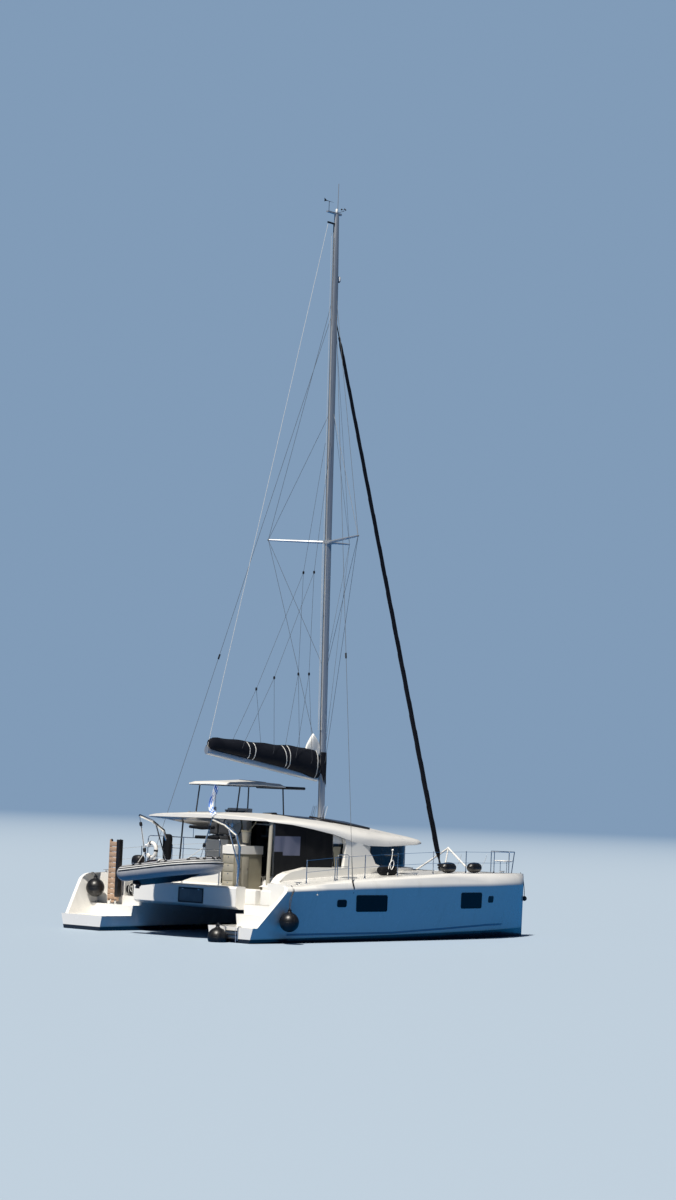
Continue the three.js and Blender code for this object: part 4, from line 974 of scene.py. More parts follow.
def bag_ring(x, sides=36):
    """The bag's outline at x, with its folds and its sag between the straps."""
    half, top, low = interpolate(BAG_ROWS, x)
    ring = []
    for a in circle(sides):
        across, up = sin(a), -cos(a)
        wide = half * copysign(abs(across) ** 0.75, across) * (1 - 0.36 * max(up, 0) ** 1.5)
        z = low + (top - low) * (0.5 + 0.5 * copysign(abs(up) ** 0.85, up))
        fold = 0.014 * noise.noise(Vector((x * 2.6, across * 2, z * 9 + x * 3.4)))
        fold += 0.006 * noise.noise(Vector((x * 9, across * 3, z * 20)))
        sag = -0.022 * max(up, 0) * (0.5 - 0.5 * cos(2 * pi * (x + 0.3) / 1.05))
        wide += copysign(fold, across) if abs(across) > 0.05 else 0
        if abs(wide) < 0.088 and z < 0.13 and abs(across) > 0.02:
            wide = copysign(0.088, across)
        ring.append(Vector((x, wide, boom_z(x) + z + sag)))
    return ring


def make_sail_bag():
    """The bag with its straps and zip, the sail's corner above it and the sleeve round the mast."""
    shape = Shape()
    count = 90
    first, last = BAG_ROWS[0][0], BAG_ROWS[-1][0]
    shape.rings([bag_ring(first + (last - first) * k / count) for k in range(count + 1)])
    bag = shape.piece("sail_bag_cloth", "canvas", "canvas", "boom", CLOTH_ANGLE)
    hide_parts("sail_bag")
    trim = Shape()
    for x, lean in ((-0.22, 0.08), (-1.46, 0), (-1.62, -0.16), (-2.9, 0.1), (-3.14, -0.05)):
        for side in (-1, 1):
            route = [
                p + Vector((lean * (p.z - boom_z(x) - 0.3), side * 0.006, 0))
                for p in bag_ring(x) if p.y * side > 0.03
            ]
            route.sort(key=lambda p: p.z)
            trim.skin([[p - FORE * 0.013, p + FORE * 0.013] for p in route], 0.003)
    zip_line = [max(bag_ring(-0.15 - 4.35 * k / 60), key=lambda p: p.z) + UP * 0.004 for k in range(61)]
    trim.tube(zip_line, 0.011, 6, 1)
    trim.piece("sail_bag_straps", "sailcloth black_canvas", "canvas", "boom")
    peak = Shape()
    peak.rings([
        ellipse((x, 0, (low + top) / 2), PORT, UP, 0.05 + 0.02 * sin(x * 14), (top - low) / 2, 20, 0.7)
        for x, low, top in SAIL_CORNER
    ])
    sail = peak.piece("sail_head_corner", "sailcloth", "canvas", "boom", radians(50))
    sleeve = Shape()
    rows = []
    for k in range(13):
        row = []
        for i in range(61):
            a = pi * (0.14 + 1.72 * i / 60)
            dip = (sin(a) ** 2 - 0.5 + 0.5 * copysign(1, -cos(a)) - 0.3) / 0.5
            low = 4.52 - 0.4 * exp(-(dip ** 2))
            z = low + (5.12 - low) * k / 12
            fold = 1 + 0.05 * noise.noise(Vector((a * 2, z * 3, 4)))
            row.append((mast_x(z) - 0.142 * fold * cos(a), 0.104 * fold * sin(a), z))
        rows.append(row)
    sleeve.skin(rows, 0.003)
    cloth = sleeve.piece("mast_sleeve", "canvas", "canvas", angle=CLOTH_ANGLE)


# Headsail rolled on its stay

MAST_FOOT_X, MAST_FOOT_Z = 0.21, 3.1
MAST_RAKE = radians(1.25)
RIG_TOP = 17.73


def mast_x(z):
    """The x of the mast's middle at a height."""
    return MAST_FOOT_X - tan(MAST_RAKE) * (z - MAST_FOOT_Z)


STAY_FOOT = Vector((5.915, 0, 1.8))
STAY_HEAD = Vector((mast_x(RIG_TOP) + 0.04, 0, RIG_TOP))
ROLL_PITCH = 0.95


def make_headsail():
    """The rolled sail and its furling drum."""
    length = (STAY_HEAD - STAY_FOOT).length
    along = (STAY_HEAD - STAY_FOOT).normalized()
    side = along.cross(PORT).normalized()
    up = along.cross(side)

    def at(distance, radius=0, a=0):
        return STAY_FOOT + along * distance + side * (radius * cos(a)) + up * (radius * sin(a))

    rows = [
        (length, 0.016), (length - 0.7, 0.016), (length - 0.9, 0.048), (0.62, 0.078), (0.33, 0.024),
        (0.2, 0.024),
    ]
    shape = Shape()
    rings = []
    distance = 0.2
    while distance < length - 0.02:
        radius, = interpolate(rows, distance)
        ring = []
        for a in circle(20):
            turn = (a / (2 * pi) + distance / ROLL_PITCH) % 1
            ring.append(at(distance, radius * (0.9 + 0.16 * turn) if radius > 0.03 else radius, a))
        rings.append(ring)
        distance += 0.07
    shape.rings(rings)
    sail = shape.piece("rolled_headsail_cloth", "canvas", "canvas", angle=radians(50))
    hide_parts("rolled_headsail")
    gear = Shape()
    gear.lathe([
        (0.02, 0), (0.03, 0.02), (0.03, 0.085), (0.094, 0.092), (0.095, 0.1), (0.06, 0.108), (0.055, 0.175),
        (0.094, 0.182), (0.094, 0.192), (0.034, 0.2), (0.026, 0.33),
    ], STAY_FOOT, along, 28)
    gear.tube([at(length - 0.72), at(length - 0.02)], 0.015, 10, 1)
    swivel = [(0.02, -0.78), (0.034, -0.76), (0.034, -0.66), (0.02, -0.64)]
    gear.lathe([(r, length + d) for r, d in swivel], STAY_FOOT, along, 20)
    coil = [at(0.115 + 0.055 * (k % 32) / 32, 0.062, 2 * pi * k / 12) for k in range(64)]
    gear.tube(coil, 0.004, 5, 2)
    gear.piece("furling_drum", "trim_black alloy rope_dark", "alloy")


# Fenders

FENDER_R = 0.255
# middle of the ball, and where its lines go from there
FENDERS = {
    "ball_fender_side": ((-5.45, -3.87, 0.575), [
        [(-5.37, -3.86, 1.25), (-5.22, -3.83, 1.4), (-5.19, -3.66, 1.505)],
        [(-5.48, -3.865, 1.1), (-5.28, -3.84, 1.4), (-5.19, -3.66, 1.505)],
    ]),
    "ball_fender_stern_starboard": ((-6.7054, -2.53, 0.12), [
        [(-6.6, -2.53, 0.44), (-6.46, -2.53, 0.41), (-6.4, -2.53, 0.41)],
    ]),
    "ball_fender_stern_port": ((-5.33, 3.38, 1.1), [
        [(-5.25, 3.545, 1.508), (-5.215, 3.65, 1.508), (-5.19, 3.74, 1.482)],
    ]),
}


def make_ball_fenders():
    """Each ball with its belt, its eye and the lines that it hangs from."""
    profile = []
    for k in range(29):
        a = pi * (k / 28) * 0.9
        profile.append((FENDER_R * sin(a), -FENDER_R * cos(a)))
    neck = [
        (0.06, 0.262), (0.048, 0.275), (0.05, 0.286), (0.055, 0.296), (0.052, 0.312), (0.036, 0.322),
        (0.004, 0.325),
    ]
    for name, ((x, y, z), routes) in FENDERS.items():
        shape = Shape()
        shape.lathe(profile + neck, (x, y, z), sides=48)
        shape.tube(ellipse((x, y, z), FORE, PORT, FENDER_R, FENDER_R, 48), 0.004, 6, closed=True)
        shape.tube(ellipse((x, y, z + 0.325), FORE, UP, 0.03, 0.03, 16), 0.01, closed=True)
        for route in routes:
            shape.tube(rounded([(x, y, z + 0.335), *route], 0.12), 0.009, mat=1)
        shape.tube(ellipse((x, y, z + 0.345), PORT, UP, 0.02, 0.025, 12), 0.009, 6, 1, closed=True)
        made = shape.piece(f"{name}_moulding", "rubber rope_dark", "black_rubber")
        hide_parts(name)


# Curtain of the cockpit

CURTAIN_X = (-4.315, -1.915)
CURTAIN_Y = -2.25


def make_curtain():
    """Canvas from the roof down to the coaming, with slack waves and one crease."""
    roof, coaming = surface_of("hardtop"), surface_of("coaming")
    count, high = 110, 44
    rows = []
    for i in range(high + 1):
        row = []
        for j in range(count + 1):
            x = CURTAIN_X[0] + (CURTAIN_X[1] - CURTAIN_X[0]) * j / count
            hit, _ = onto(roof, (x, CURTAIN_Y - 0.006, 2), UP)
            foot = onto(coaming, (x, CURTAIN_Y - 0.006, 2.2), DOWN)[0].z + 0.0004
            t = i / high
            z = foot + (hit.z - 0.0005 - foot) * t
            hang = sin(pi * min(1, t * 1.1)) ** 0.7 if t < 0.9 else 1 - (t - 0.9) * 6
            wave = 0.008 * sin(x * 11 + 1.4 * sin(x * 3))
            wave += 0.006 * noise.noise(Vector((x * 5, z * 2, 0)))
            crease = 0.007 * exp(-(((x + 3.05) / 0.02) ** 2))
            row.append((x, CURTAIN_Y - 0.012 + hang * wave - crease, z))
        rows.append(row)
    shape = Shape()
    shape.skin(rows, -0.003)
    made = shape.piece("cockpit_curtain_cloth", "curtain", "canvas", angle=CLOTH_ANGLE)
    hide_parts("cockpit_curtain")


# Tender on the davits

TENDER_X = -6.2
TUBE_R = 0.215
DAVIT_HEAD_Z = 3.15
TENDER_SLOPE = (1.99 - 1.56) / (-2.15 - 1.18)
TUBE_PATH = [
    (-0.59, 0.86), (-0.59, 0.46), (-0.59, 0.06), (-0.59, -0.34), (-0.59, -0.75), (-0.55, -1.1),
    (-0.4425, -1.4), (-0.25, -1.66), (0, -1.76), (0.25, -1.66), (0.4425, -1.4), (0.55, -1.1),
    (0.59, -0.75), (0.59, -0.34), (0.59, 0.06), (0.59, 0.46), (0.59, 0.86),
]


def tender_z(y):
    return 1.56 + (y - 1.18) * TENDER_SLOPE


def eased(points, steps):
    """A smooth curve through all the points."""
    points = [Vector(p) for p in points]
    route = []
    for i in range(len(points) - 1):
        p0, p1 = points[max(i - 1, 0)], points[i]
        p2, p3 = points[i + 1], points[min(i + 2, len(points) - 1)]
        for k in range(steps):
            t = k / steps
            route.append(0.5 * (2 * p1 + (p2 - p0) * t + (2 * p0 - 5 * p1 + 4 * p2 - p3) * t * t
                                + (3 * p1 - p0 - 3 * p2 + p3) * t ** 3))
    return route + [points[-1]]


def outward(route, i):
    """The level direction away from the tender's middle at a point of its tube."""
    ahead = (route[min(i + 1, len(route) - 1)] - route[max(i - 1, 0)]).normalized()
    return ahead.cross(UP).normalized()


def in_tender(dx, y, up=0):
    """A point dx from the tender's middle line and up above its tubes' middle."""
    return Vector((TENDER_X + dx, y, tender_z(y) + up))


def make_tender():
    """Tubes with their strakes and grips, then what lies inside, then the falls."""
    route = eased([in_tender(dx, y) for dx, y in TUBE_PATH], 7)
    shape = Shape()
    first, last = (route[0] - route[1]).normalized(), (route[-1] - route[-2]).normalized()
    cone = [(0.18, 0.05), (0.16, 0.11), (0.11, 0.16), (0.04, 0.2), (-0.04, TUBE_R)]
    points = [route[0] + first * d for d, _ in cone]
    points += route[1:-1] + [route[-1] + last * d for d, _ in reversed(cone)]
    middle = [TUBE_R * (1 + 0.006 * sin(i * 0.9)) * 0.995 for i in range(len(route) - 2)]
    shape.tube(points, [r for _, r in cone] + middle + [r for _, r in reversed(cone)], 32)
    for up, mat, size in (
        (0.055, 1, 0.013), (0.085, 2, 0.014), (0.115, 1, 0.012), (0.142, 2, 0.011), (0.165, 1, 0.01),
    ):
        level = sqrt(TUBE_R ** 2 - up ** 2)
        shape.tube([p + outward(route, i) * level + UP * up for i, p in enumerate(route)], size, 6, mat)
    for i in (10, 26, 44, 52, 60, 68, 86, 102):
        lean = outward(route, i) * 0.55 + UP * 0.835
        ahead = (route[i + 1] - route[i - 1]).normalized()
        spot = route[i] + lean * (TUBE_R + 0.002)
        grip = ((-0.13, 0), (-0.08, 0.045), (0.08, 0.045), (0.13, 0))
        shape.tube(rounded([spot + ahead * d + UP * up for d, up in grip], 0.03), 0.011, mat=1)
        for end in (-0.13, 0.13):
            patch = [(0.045, -0.006), (0.045, 0.004), (0.02, 0.012), (0, 0.013)]
            shape.lathe(patch, spot + ahead * end, lean, 16, 1)
    tube = shape.piece("tender_tubes", "tube_grey rubber sailcloth", "tender_fabric")
    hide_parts("tender_tube")
    inside = Shape()
    for y0, y1 in ((-0.72, -0.46), (-0.02, 0.24)):
        z = tender_z((y0 + y1) / 2) + 0.12
        inside.box((TENDER_X - 0.4, y0, z - 0.02), (TENDER_X + 0.4, y1, z + 0.02), 0.012)
        inside.box((TENDER_X - 0.38, y0 + 0.03, z + 0.02), (TENDER_X + 0.38, y1 - 0.03, z + 0.065), 0.022, 1)
    z = tender_z(0.45)
    inside.box((TENDER_X - 0.2, 0.32, z), (TENDER_X + 0.16, 0.6, z + 0.21), 0.03, 2)
    start = in_tender(0, 0.6)
    hose = [start + Vector(step) for step in ((-0.12, 0, 0.08), (-0.1, 0.05, 0.2), (-0.04, 0.1, 0.3))]
    inside.tube(rounded(hose, 0.05), 0.008, mat=1)
    for dx in (-0.3, 0.3):
        inside.tube([in_tender(dx, -0.72, 0.21), in_tender(dx, 0.6, 0.23)], 0.016, 10, 3)
        inside.rings([
            ellipse(in_tender(dx, y, 0.21), FORE, UP, half, 0.011, 14)
            for y, half in ((-0.67, 0.02), (-0.74, 0.05), (-0.87, 0.068), (-0.98, 0.062), (-1.01, 0.03))
        ], 1)
    inside.piece("tender_thwarts", "tender_hull trim_black red alloy", "tender_fabric")
    strops = Shape()
    for y, head_y in ((-1.25, -1.7), (0.55, 0.95)):
        foot, head = in_tender(0, y, -0.05), Vector((TENDER_X, head_y, DAVIT_HEAD_Z))
        along = (head - foot).normalized()
        ring, top = foot + along * 0.6, head - along * 0.2
        for dx in (-0.47, 0.47):
            strops.tube([ring, in_tender(dx, y, 0.17)], 0.008)
        block = [(0, 0), (0.038, 0.011), (0.043, 0.055), (0.038, 0.11), (0, 0.12)]
        for spot in (ring, top - along * 0.1):
            strops.lathe(block, spot, along, 18, 1)
        for dx in (-0.02, 0.02):
            strops.tube([ring + along * 0.1 + FORE * dx, top + FORE * dx], 0.006, 6)
    strops.piece("tender_falls", "rope_white trim_black", "netting")


def make_outboard():
    """Cowl, leg, propeller and tiller of the motor on the tender's transom."""
    y = 0.77
    z = tender_z(y)
    shape = Shape()

    def at(dx, dy, dz):
        return Vector((TENDER_X + dx, y + dy, z + dz))

    cowl = [
        (0.17, 0.1, 0.13, 0), (0.2, 0.125, 0.155, 0.005), (0.25, 0.14, 0.17, 0.005),
        (0.33, 0.146, 0.176, 0), (0.4, 0.138, 0.168, -0.005), (0.45, 0.115, 0.14, -0.012),
        (0.475, 0.07, 0.09, -0.02), (0.48, 0.02, 0.03, -0.02),
    ]
    band = ((0.245, 0), (0.245, 0.005), (0.262, 0.005), (0.262, 0))
    seam = [(up, 0.144 + d, 0.174 + d, 0) for up, d in band]
    leg = [
        (0.18, 0.06, 0.085, -0.04), (0.05, 0.055, 0.08, -0.04), (-0.15, 0.04, 0.075, -0.04),
        (-0.3, 0.03, 0.072, -0.035), (-0.415, 0.02, 0.06, -0.03),
    ]
    for form, sides, power, mat in ((cowl, 32, 0.7, 0), (seam, 32, 0.7, 1), (leg, 24, 0.8, 0)):
        shape.rings([
            ellipse(at(0, 0.16 + shift, up), FORE, PORT, across, along, sides, power)
            for up, across, along, shift in form
        ], mat)
    shape.box(at(-0.06, 0.03, -0.24), at(0.06, 0.2, -0.228), 0.004)
    hub = [(0, -0.09), (0.03, -0.07), (0.036, 0), (0.028, 0.06), (0, 0.1)]
    shape.lathe(hub, at(0, 0.11, -0.33), PORT, 20)
    centre = at(0, 0.185, -0.33)
    for a in circle(3):
        out, side = (Vector((cos(b), 0, sin(b))) for b in (a + 0.4, a + 0.4 + pi / 2))
        shape.rings([
            [centre + out * r + side * w * s + PORT * dy
             for s, dy in ((-1, 0.012), (-0.2, 0.016), (1, -0.012), (0.2, -0.006))]
            for r, w in ((0.02, 0.012), (0.045, 0.026), (0.07, 0.03), (0.085, 0.018))
        ], 1)
    shape.box(at(-0.11, -0.108, 0.13), at(0.11, -0.05, 0.226), 0.016)
    shape.box(at(-0.1, -0.06, 0.17), at(0.1, 0.05, 0.228), 0.014)
    screw = [(0.01, 0), (0.01, 0.06), (0.026, 0.065), (0.026, 0.075), (0, 0.078)]
    for dx in (-0.07, 0.07):
        shape.lathe(screw, at(dx, -0.1, 0.16), -PORT, 14, 1)
    tiller = rounded([at(0, -0.04, 0.25), at(0.02, -0.2, 0.33), at(0.03, -0.48, 0.36)], 0.08)
    shape.tube(tiller, [0.02] * 8 + [0.017], 12)
    made = shape.piece("tender_motor", "trim_black alloy", "black_rubber")
    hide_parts("tender_outboard")


# Nets between the hulls

def make_nets(settings):
    """Each net is cords both ways that sag a little, with a border rope laced to its hull."""
    pitch, cord_r = settings.net_pitch, settings.net_cord / 2
    for side_name, side in SIDES.items():
        shape = Shape()
        lo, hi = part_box(f"trampoline_{side_name}")
        inner, outer = sorted((abs(lo[1]), abs(hi[1])))
        first, last = lo[0] + 0.03, hi[0] - 0.03
        start_y = inner + 0.02
        hull = surface_of(f"hull_{side_name}")
        z = (lo[2] + hi[2]) / 2

        def hull_y(x):
            return onto(hull, (x, side * 0.2, z), PORT * side)[0].y

        def edge_y(x):
            return min(abs(hull_y(x)) - 0.03, outer)

        def knot(x, y):
            t = (x - lo[0]) / (hi[0] - lo[0])
            far = max(edge_y(min(x, last)) - inner, 0.2)
            s = min(max((y - inner) / far, 0), 1)
            sag = settings.net_sag * sin(pi * min(max(t, 0), 1)) ** 0.8 * sin(pi * s) ** 0.8
            return x, side * y, z - sag

        steps = 22
        count = int((last - first) / pitch)
        for k in range(count + 1):
            x = first + (last - first) * k / count
            wide = edge_y(x) - start_y
            shape.tube([knot(x, start_y + wide * j / steps) for j in range(steps + 1)], cord_r, 4)
        widest = max(edge_y(first + (last - first) * k / 20) for k in range(21))
        count = int((widest - inner) / pitch)
        for k in range(1, count + 1):
            y = start_y + (widest - start_y) * k / count
            along = [first + (last - first) * j / (2 * steps) for j in range(2 * steps + 1)]
            line = [knot(x, y) for x in along if y <= edge_y(x)]
            if len(line) > 1:
                shape.tube(line, cord_r, 4)
        route = [(first, side * start_y, z), (last, side * start_y, z)]
        for k in range(25):
            x = last - (last - first) * k / 24
            route.append((x, side * (edge_y(x) - 0.01), z))
        shape.tube(route, 0.011, 6, 1, closed=True)
        lacing = []
        for k in range(46):
            x = first + (last - first) * k / 45
            lacing.append((x, hull_y(x), z + 0.012) if k % 2 else (x, side * (edge_y(x) - 0.02), z))
        shape.tube(lacing, 0.004, 5, 1)
        made = shape.piece(f"net_{side_name}", "netting rope_white", "netting")
        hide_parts(f"trampoline_{side_name}")


# Gangway

GANGWAY_HINGE = (-5.2, 2.8, 0.74)
SLATS, SLAT_PITCH = 11, 0.1436


def make_gangway():
    """Slats, side rails, rollers, screws and handle line of the gangway, which stands folded up."""
    x, y, z = GANGWAY_HINGE
    shape = Shape()
    shape.box((x - 0.05, y - 0.196, z + 0.14), (x + 0.1, y - 0.085, z + 1.707), 0.01)
    shape.box((x - 0.036, y + 0.17, z + 0.14), (x + 0.036, y + 0.196, z + 1.707), 0.008, 3)
    lifts = [z + k * SLAT_PITCH for k in range(SLATS)]
    for low in lifts:
        shape.box((x - 0.046, y - 0.085, low + 0.088), (x - 0.01, y + 0.187, low + 0.209), 0.008, 3)
    roller = [(0, -0.02), (0.035, -0.02), (0.04, -0.01), (0.04, 0.01), (0.035, 0.02), (0, 0.02)]
    for side in (-1, 1):
        shape.lathe(roller, (x + 0.02, y + side * 0.17, z + 1.68), PORT, 20)
        for low in lifts:
            screw = (x - 0.045, y + 0.05 + side * 0.1, low + 0.148)
            shape.lathe([(0.006, 0), (0.006, 0.002), (0, 0.003)], screw, -FORE, 10, 1)
    line = [(x, y - 0.17, z + 1.64), (x + 0.1, y - 0.05, z + 1.58), (x, y + 0.17, z + 1.64)]
    shape.tube(rounded(line, 0.1), 0.007, 6, 2)
    shape.piece("gangway_edges", "trim_black steel rope_white teak", "black_rubber", "gangway")


# Windows and hatches

def pane(shape, tree, centre, size, radius, rim=0.018, proud=0.004, skew=0, up=PORT, look=DOWN):
    """A pane with its frame, both laid on a surface: material 0 is the pane and 1 the frame."""
    def laid(outlines):
        return laid_on(tree, centre, FORE, up, look, [
            (round_rect(*size, radius, inset, skew), height) for inset, height in outlines
        ])
    frame_rows = [(-rim, -0.004), (-rim, 0.004 + proud), (-rim * 0.5, 0.008 + proud), (0, 0.006 + proud)]
    shape.rings(laid(frame_rows + [(0, proud - 0.004)]), 1, capped=False)
    half = min(size) * 0.45
    shape.rings(laid([(0, -0.002)] + [(half * k / 4, proud) for k in range(5)]), 0)


# x from and to, z from and to, lean
HULL_WINDOWS = [
    (-2.6, -1.3, 0.83, 1.245, -0.34), (2.11, 3.13, 0.89, 1.31, -0.42), (-3.4, -3.04, 0.96, 1.125, -0.3),
    (3.5, 3.77, 1.05, 1.205, -0.3),
]


def make_hull_windows():
    """Dark panes that follow the hulls' sides, and the outlets aft of them."""
    for name, side in SIDES.items():
        hull = surface_of(f"hull_{name}")
        shape = Shape()
        for x0, x1, z0, z1, skew in HULL_WINDOWS:
            pane(shape, hull, ((x0 + x1) / 2, side * 3.7, (z0 + z1) / 2), (x1 - x0, z1 - z0), 0.04,
                 skew=skew, up=UP, look=PORT * -side)
        outlet = onto(hull, (-4.32, side * 4.2, 1.27), PORT * -side)[0]
        shape.lathe([(0.035, -0.004), (0.035, 0.006), (0.02, 0.02), (0, 0.02)], outlet, PORT * side, 18, 2)
        shape.piece(f"hull_windows_{name}", "glass trim_black sailcloth", "dark_glass")


def make_screen():
    """Khaki canvas over the aft corner of the saloon's starboard window."""
    tree = surface_of("saloon_side_starboard", "glazing_side_starboard")
    outline = [(-1.88, 2.5), (-1.53, 2.5), (-1.6, 2.24), (-1.67, 1.965), (-1.79, 1.965), (-1.84, 2.24)]
    middle = Vector((-1.7, -2.2, 2.22))
    shape = Shape()
    shape.rings(laid_on(tree, middle, FORE, UP, PORT, [
        ([(x - middle.x, z - middle.z) for x, z in outline], height) for height in (0.001, 0.012)
    ], 0.4))
    made = shape.piece("saloon_screen", "khaki_cloth", "canvas")


def lifted(tree, x, y, up=0):
    """The point on a surface under x and y, raised by up."""
    return onto(tree, (x, y, 6), DOWN)[0] + UP * up


def make_roof_gear():
    """Solar panels, hatches, and the mast's foot with its lines, blocks and clutches."""
    roof = surface_of("hardtop")
    panels = Shape()
    for x, proud in ((-1.85, 0.012), (-0.25, 0.05)):
        pane(panels, roof, (x, -1.08, 3.3), (1.5, 0.95), 0.02, 0.02, proud)
    panels.piece("solar_panels", "solar trim_black", "dark_glass")
    hatches = Shape()
    for x, y, size in ((2.75, 0, 0.42), (-3.95, 0.9, 0.45)):
        pane(hatches, roof, (x, y, 3.2), (size, size), 0.06, 0.028, 0.008)
        for dy in (-0.12, 0.12):
            spot = lifted(roof, x - size / 2 - 0.01, y + dy, 0.022)
            hatches.box(spot - Vector((0.02, 0.02, 0.01)), spot + Vector((0.02, 0.02, 0.014)), 0.005, 1)
    hatches.piece("roof_hatches", "glass alloy", "dark_glass")
    fittings = Shape()
    mast = mast_x(MAST_FOOT_Z)
    foot = [(0.2, -0.03), (0.2, 0.012), (0.17, 0.03), (0.14, 0.03)]
    fittings.lathe(foot, (mast, 0, lifted(roof, mast, 0.3).z), sides=28, mat=1)
    for k, y in enumerate((-0.26, -0.2, -0.14, 0.14, 0.2, 0.26)):
        rope = 2 + k % 3
        start = lifted(roof, mast - 0.2, y, 0.05)
        fittings.lathe([(0, -0.012), (0.032, -0.01), (0.032, 0.01), (0, 0.012)], start, PORT, 16, 1)
        led = [start + FORE * 0.16 + UP * 0.35, start + FORE * 0.05 + UP * 0.03, start]
        fittings.tube(led, 0.006, 6, rope)
        y1 = 0.3 + 0.075 * k
        route = [
            lifted(roof, start.x + (-1.35 - start.x) * t, y + (y1 - y) * t, 0.018)
            for t in (0.02, 0.2, 0.4, 0.6, 0.8, 1)
        ]
        fittings.tube(route, 0.006, 6, rope)
        clutch = lifted(roof, -1.45, y1, 0.035)
        fittings.box(clutch - Vector((0.1, 0.026, 0.035)), clutch + Vector((0.08, 0.026, 0.025)), 0.012, 1)
        fittings.box(clutch + Vector((-0.07, -0.018, 0.02)), clutch + Vector((0.07, 0.018, 0.04)), 0.008, 3)
    fittings.piece("mast_foot_and_clutches", "steel trim_black rope_white rope_dark rope_blue", "steel")


# Cockpit and helm

RAIL_X, RAIL_TOP = -4.97, 2.6


def make_cockpit_gear():
    """Locker fronts, table top, moulded blocks by the stairs, the stern rail with its gear and the lamp."""
    fronts = Shape()
    pull = [(0.018, 0), (0.018, 0.004), (0.008, 0.008), (0, 0.008)]
    for z0, z1 in ((1.24, 1.5), (1.52, 1.74), (1.76, 1.96), (1.98, 2.18)):
        fronts.box((-4.908, -1.345, z0), (-4.899, -0.985, z1), 0.004)
        fronts.lathe(pull, (-4.907, -1.165, z1 - 0.04), -FORE, 16, 1)
    for x0, x1 in ((-4.87, -4.61), (-4.59, -4.33)):
        fronts.box((x0, -1.379, 1.24), (x1, -1.369, 2.18), 0.004)
        fronts.box((x0 + 0.2, -1.386, 1.7), (x0 + 0.22, -1.376, 1.86), 0.004, 1)
    fronts.box((-4.86, -1.33, 2.43), (-4.34, -1, 2.476), 0.02, 2)
    fronts.piece("locker_fronts", "beige steel gelcoat", "beige_trim")
    top = Shape()
    top.box((-3.775, -1.005, 1.63), (-2.525, -0.195, 1.646), 0.006)
    top.piece("table_top", "brown", "beige_trim")
    seats = Shape()
    deck = surface_of("hull_starboard", "bridgedeck")
    for y0, y1 in ((-1.78, -1.5), (-2.22, -1.84), (-2.76, -2.39)):
        foot = onto(deck, (-4.82, (y0 + y1) / 2, 1.36), DOWN)[0].z
        seats.box((-4.97, y0, foot - 0.004), (-4.66, y1, 1.33), 0.045, segments=4)
    seats.piece("stair_blocks", "gelcoat", "gelcoat")
    rail = Shape()

    def bar(points, radius, sides=8, mat=0, turn=0):
        route = [(RAIL_X, y, z) for y, z in points]
        rail.tube(rounded(route, turn) if turn else route, radius, sides, mat)

    bar([(-0.9, 1.3), (-0.9, RAIL_TOP), (1.78, RAIL_TOP), (1.78, 1.3)], 0.014, 10, turn=0.12)
    bar([(0.45, 1.3), (0.45, RAIL_TOP)], 0.012, 10)
    bar([(-0.9, 2.3), (1.78, 2.3)], 0.008)
    for y in (-0.9, 0.45, 1.78):
        rail.lathe([(0.04, 0), (0.04, 0.008), (0.016, 0.02)], (RAIL_X, y, 1.38), sides=16)
    bar([(-0.84, 2.63), (-0.42, 2.635), (0, 2.63)], 0.045, 14, 1)
    bar([(-0.65, 2.9), (-0.2, 2.885), (0.24, 2.9)], [0.04, 0.055, 0.04], 14, 1)
    for y in (-0.5, 0.1):
        bar([(y, RAIL_TOP), (y, 2.9)], 0.009)
    bag = [
        (1.97, 0.05, 0.07), (2, 0.09, 0.12), (2.3, 0.1, 0.13), (2.55, 0.105, 0.14), (2.64, 0.09, 0.12),
        (2.67, 0.05, 0.07),
    ]
    rail.rings([ellipse((-5.05, 0.97, z), FORE, PORT, a, b, 24, 0.75) for z, a, b in bag], 1)
    ring = []
    for k in range(25):
        a = pi * (1.18 + 1.64 * k / 24) + pi
        ring.append(Vector((-5.03, 1.58 + 0.17 * cos(a), 2.2 + 0.2 * sin(a))))
    rail.tube(ring, 0.055, 14, 2)
    band = [(0.056, -0.025), (0.059, -0.02), (0.059, 0.02), (0.056, 0.025)]
    for k in (4, 12, 20):
        rail.lathe(band, ring[k], ring[k + 1] - ring[k], 16, 1)
    rail.piece("stern_rail", "steel black_canvas gelcoat", "steel")
    lamp = Shape()
    roof = surface_of("hardtop")
    spot = (-4.4, -1.3, 2.53)
    lamp.lathe([
        (0, 0), (0.075, 0), (0.088, 0.02), (0.13, 0.3), (0.134, 0.31), (0.12, 0.31), (0.08, 0.02),
        (0, 0.015),
    ], spot, sides=32)
    lamp.lathe([(0.134, 0.29), (0.14, 0.3), (0.14, 0.325), (0.13, 0.325)], spot, sides=32, mat=1)
    for y, far in ((-1.18, -1.12), (-1.42, -1.66)):
        foot, head = Vector((-4.4, y, 2.84)), onto(roof, (-4.4, far, 2.9), UP)[0]
        middle = [foot.lerp(head, k / 4) for k in range(5)]
        lamp.skin([[p - FORE * 0.018, p + FORE * 0.018] for p in middle], 0.003, 1)
    lamp.piece("hanging_lamp", "beige khaki_cloth", "beige_trim")


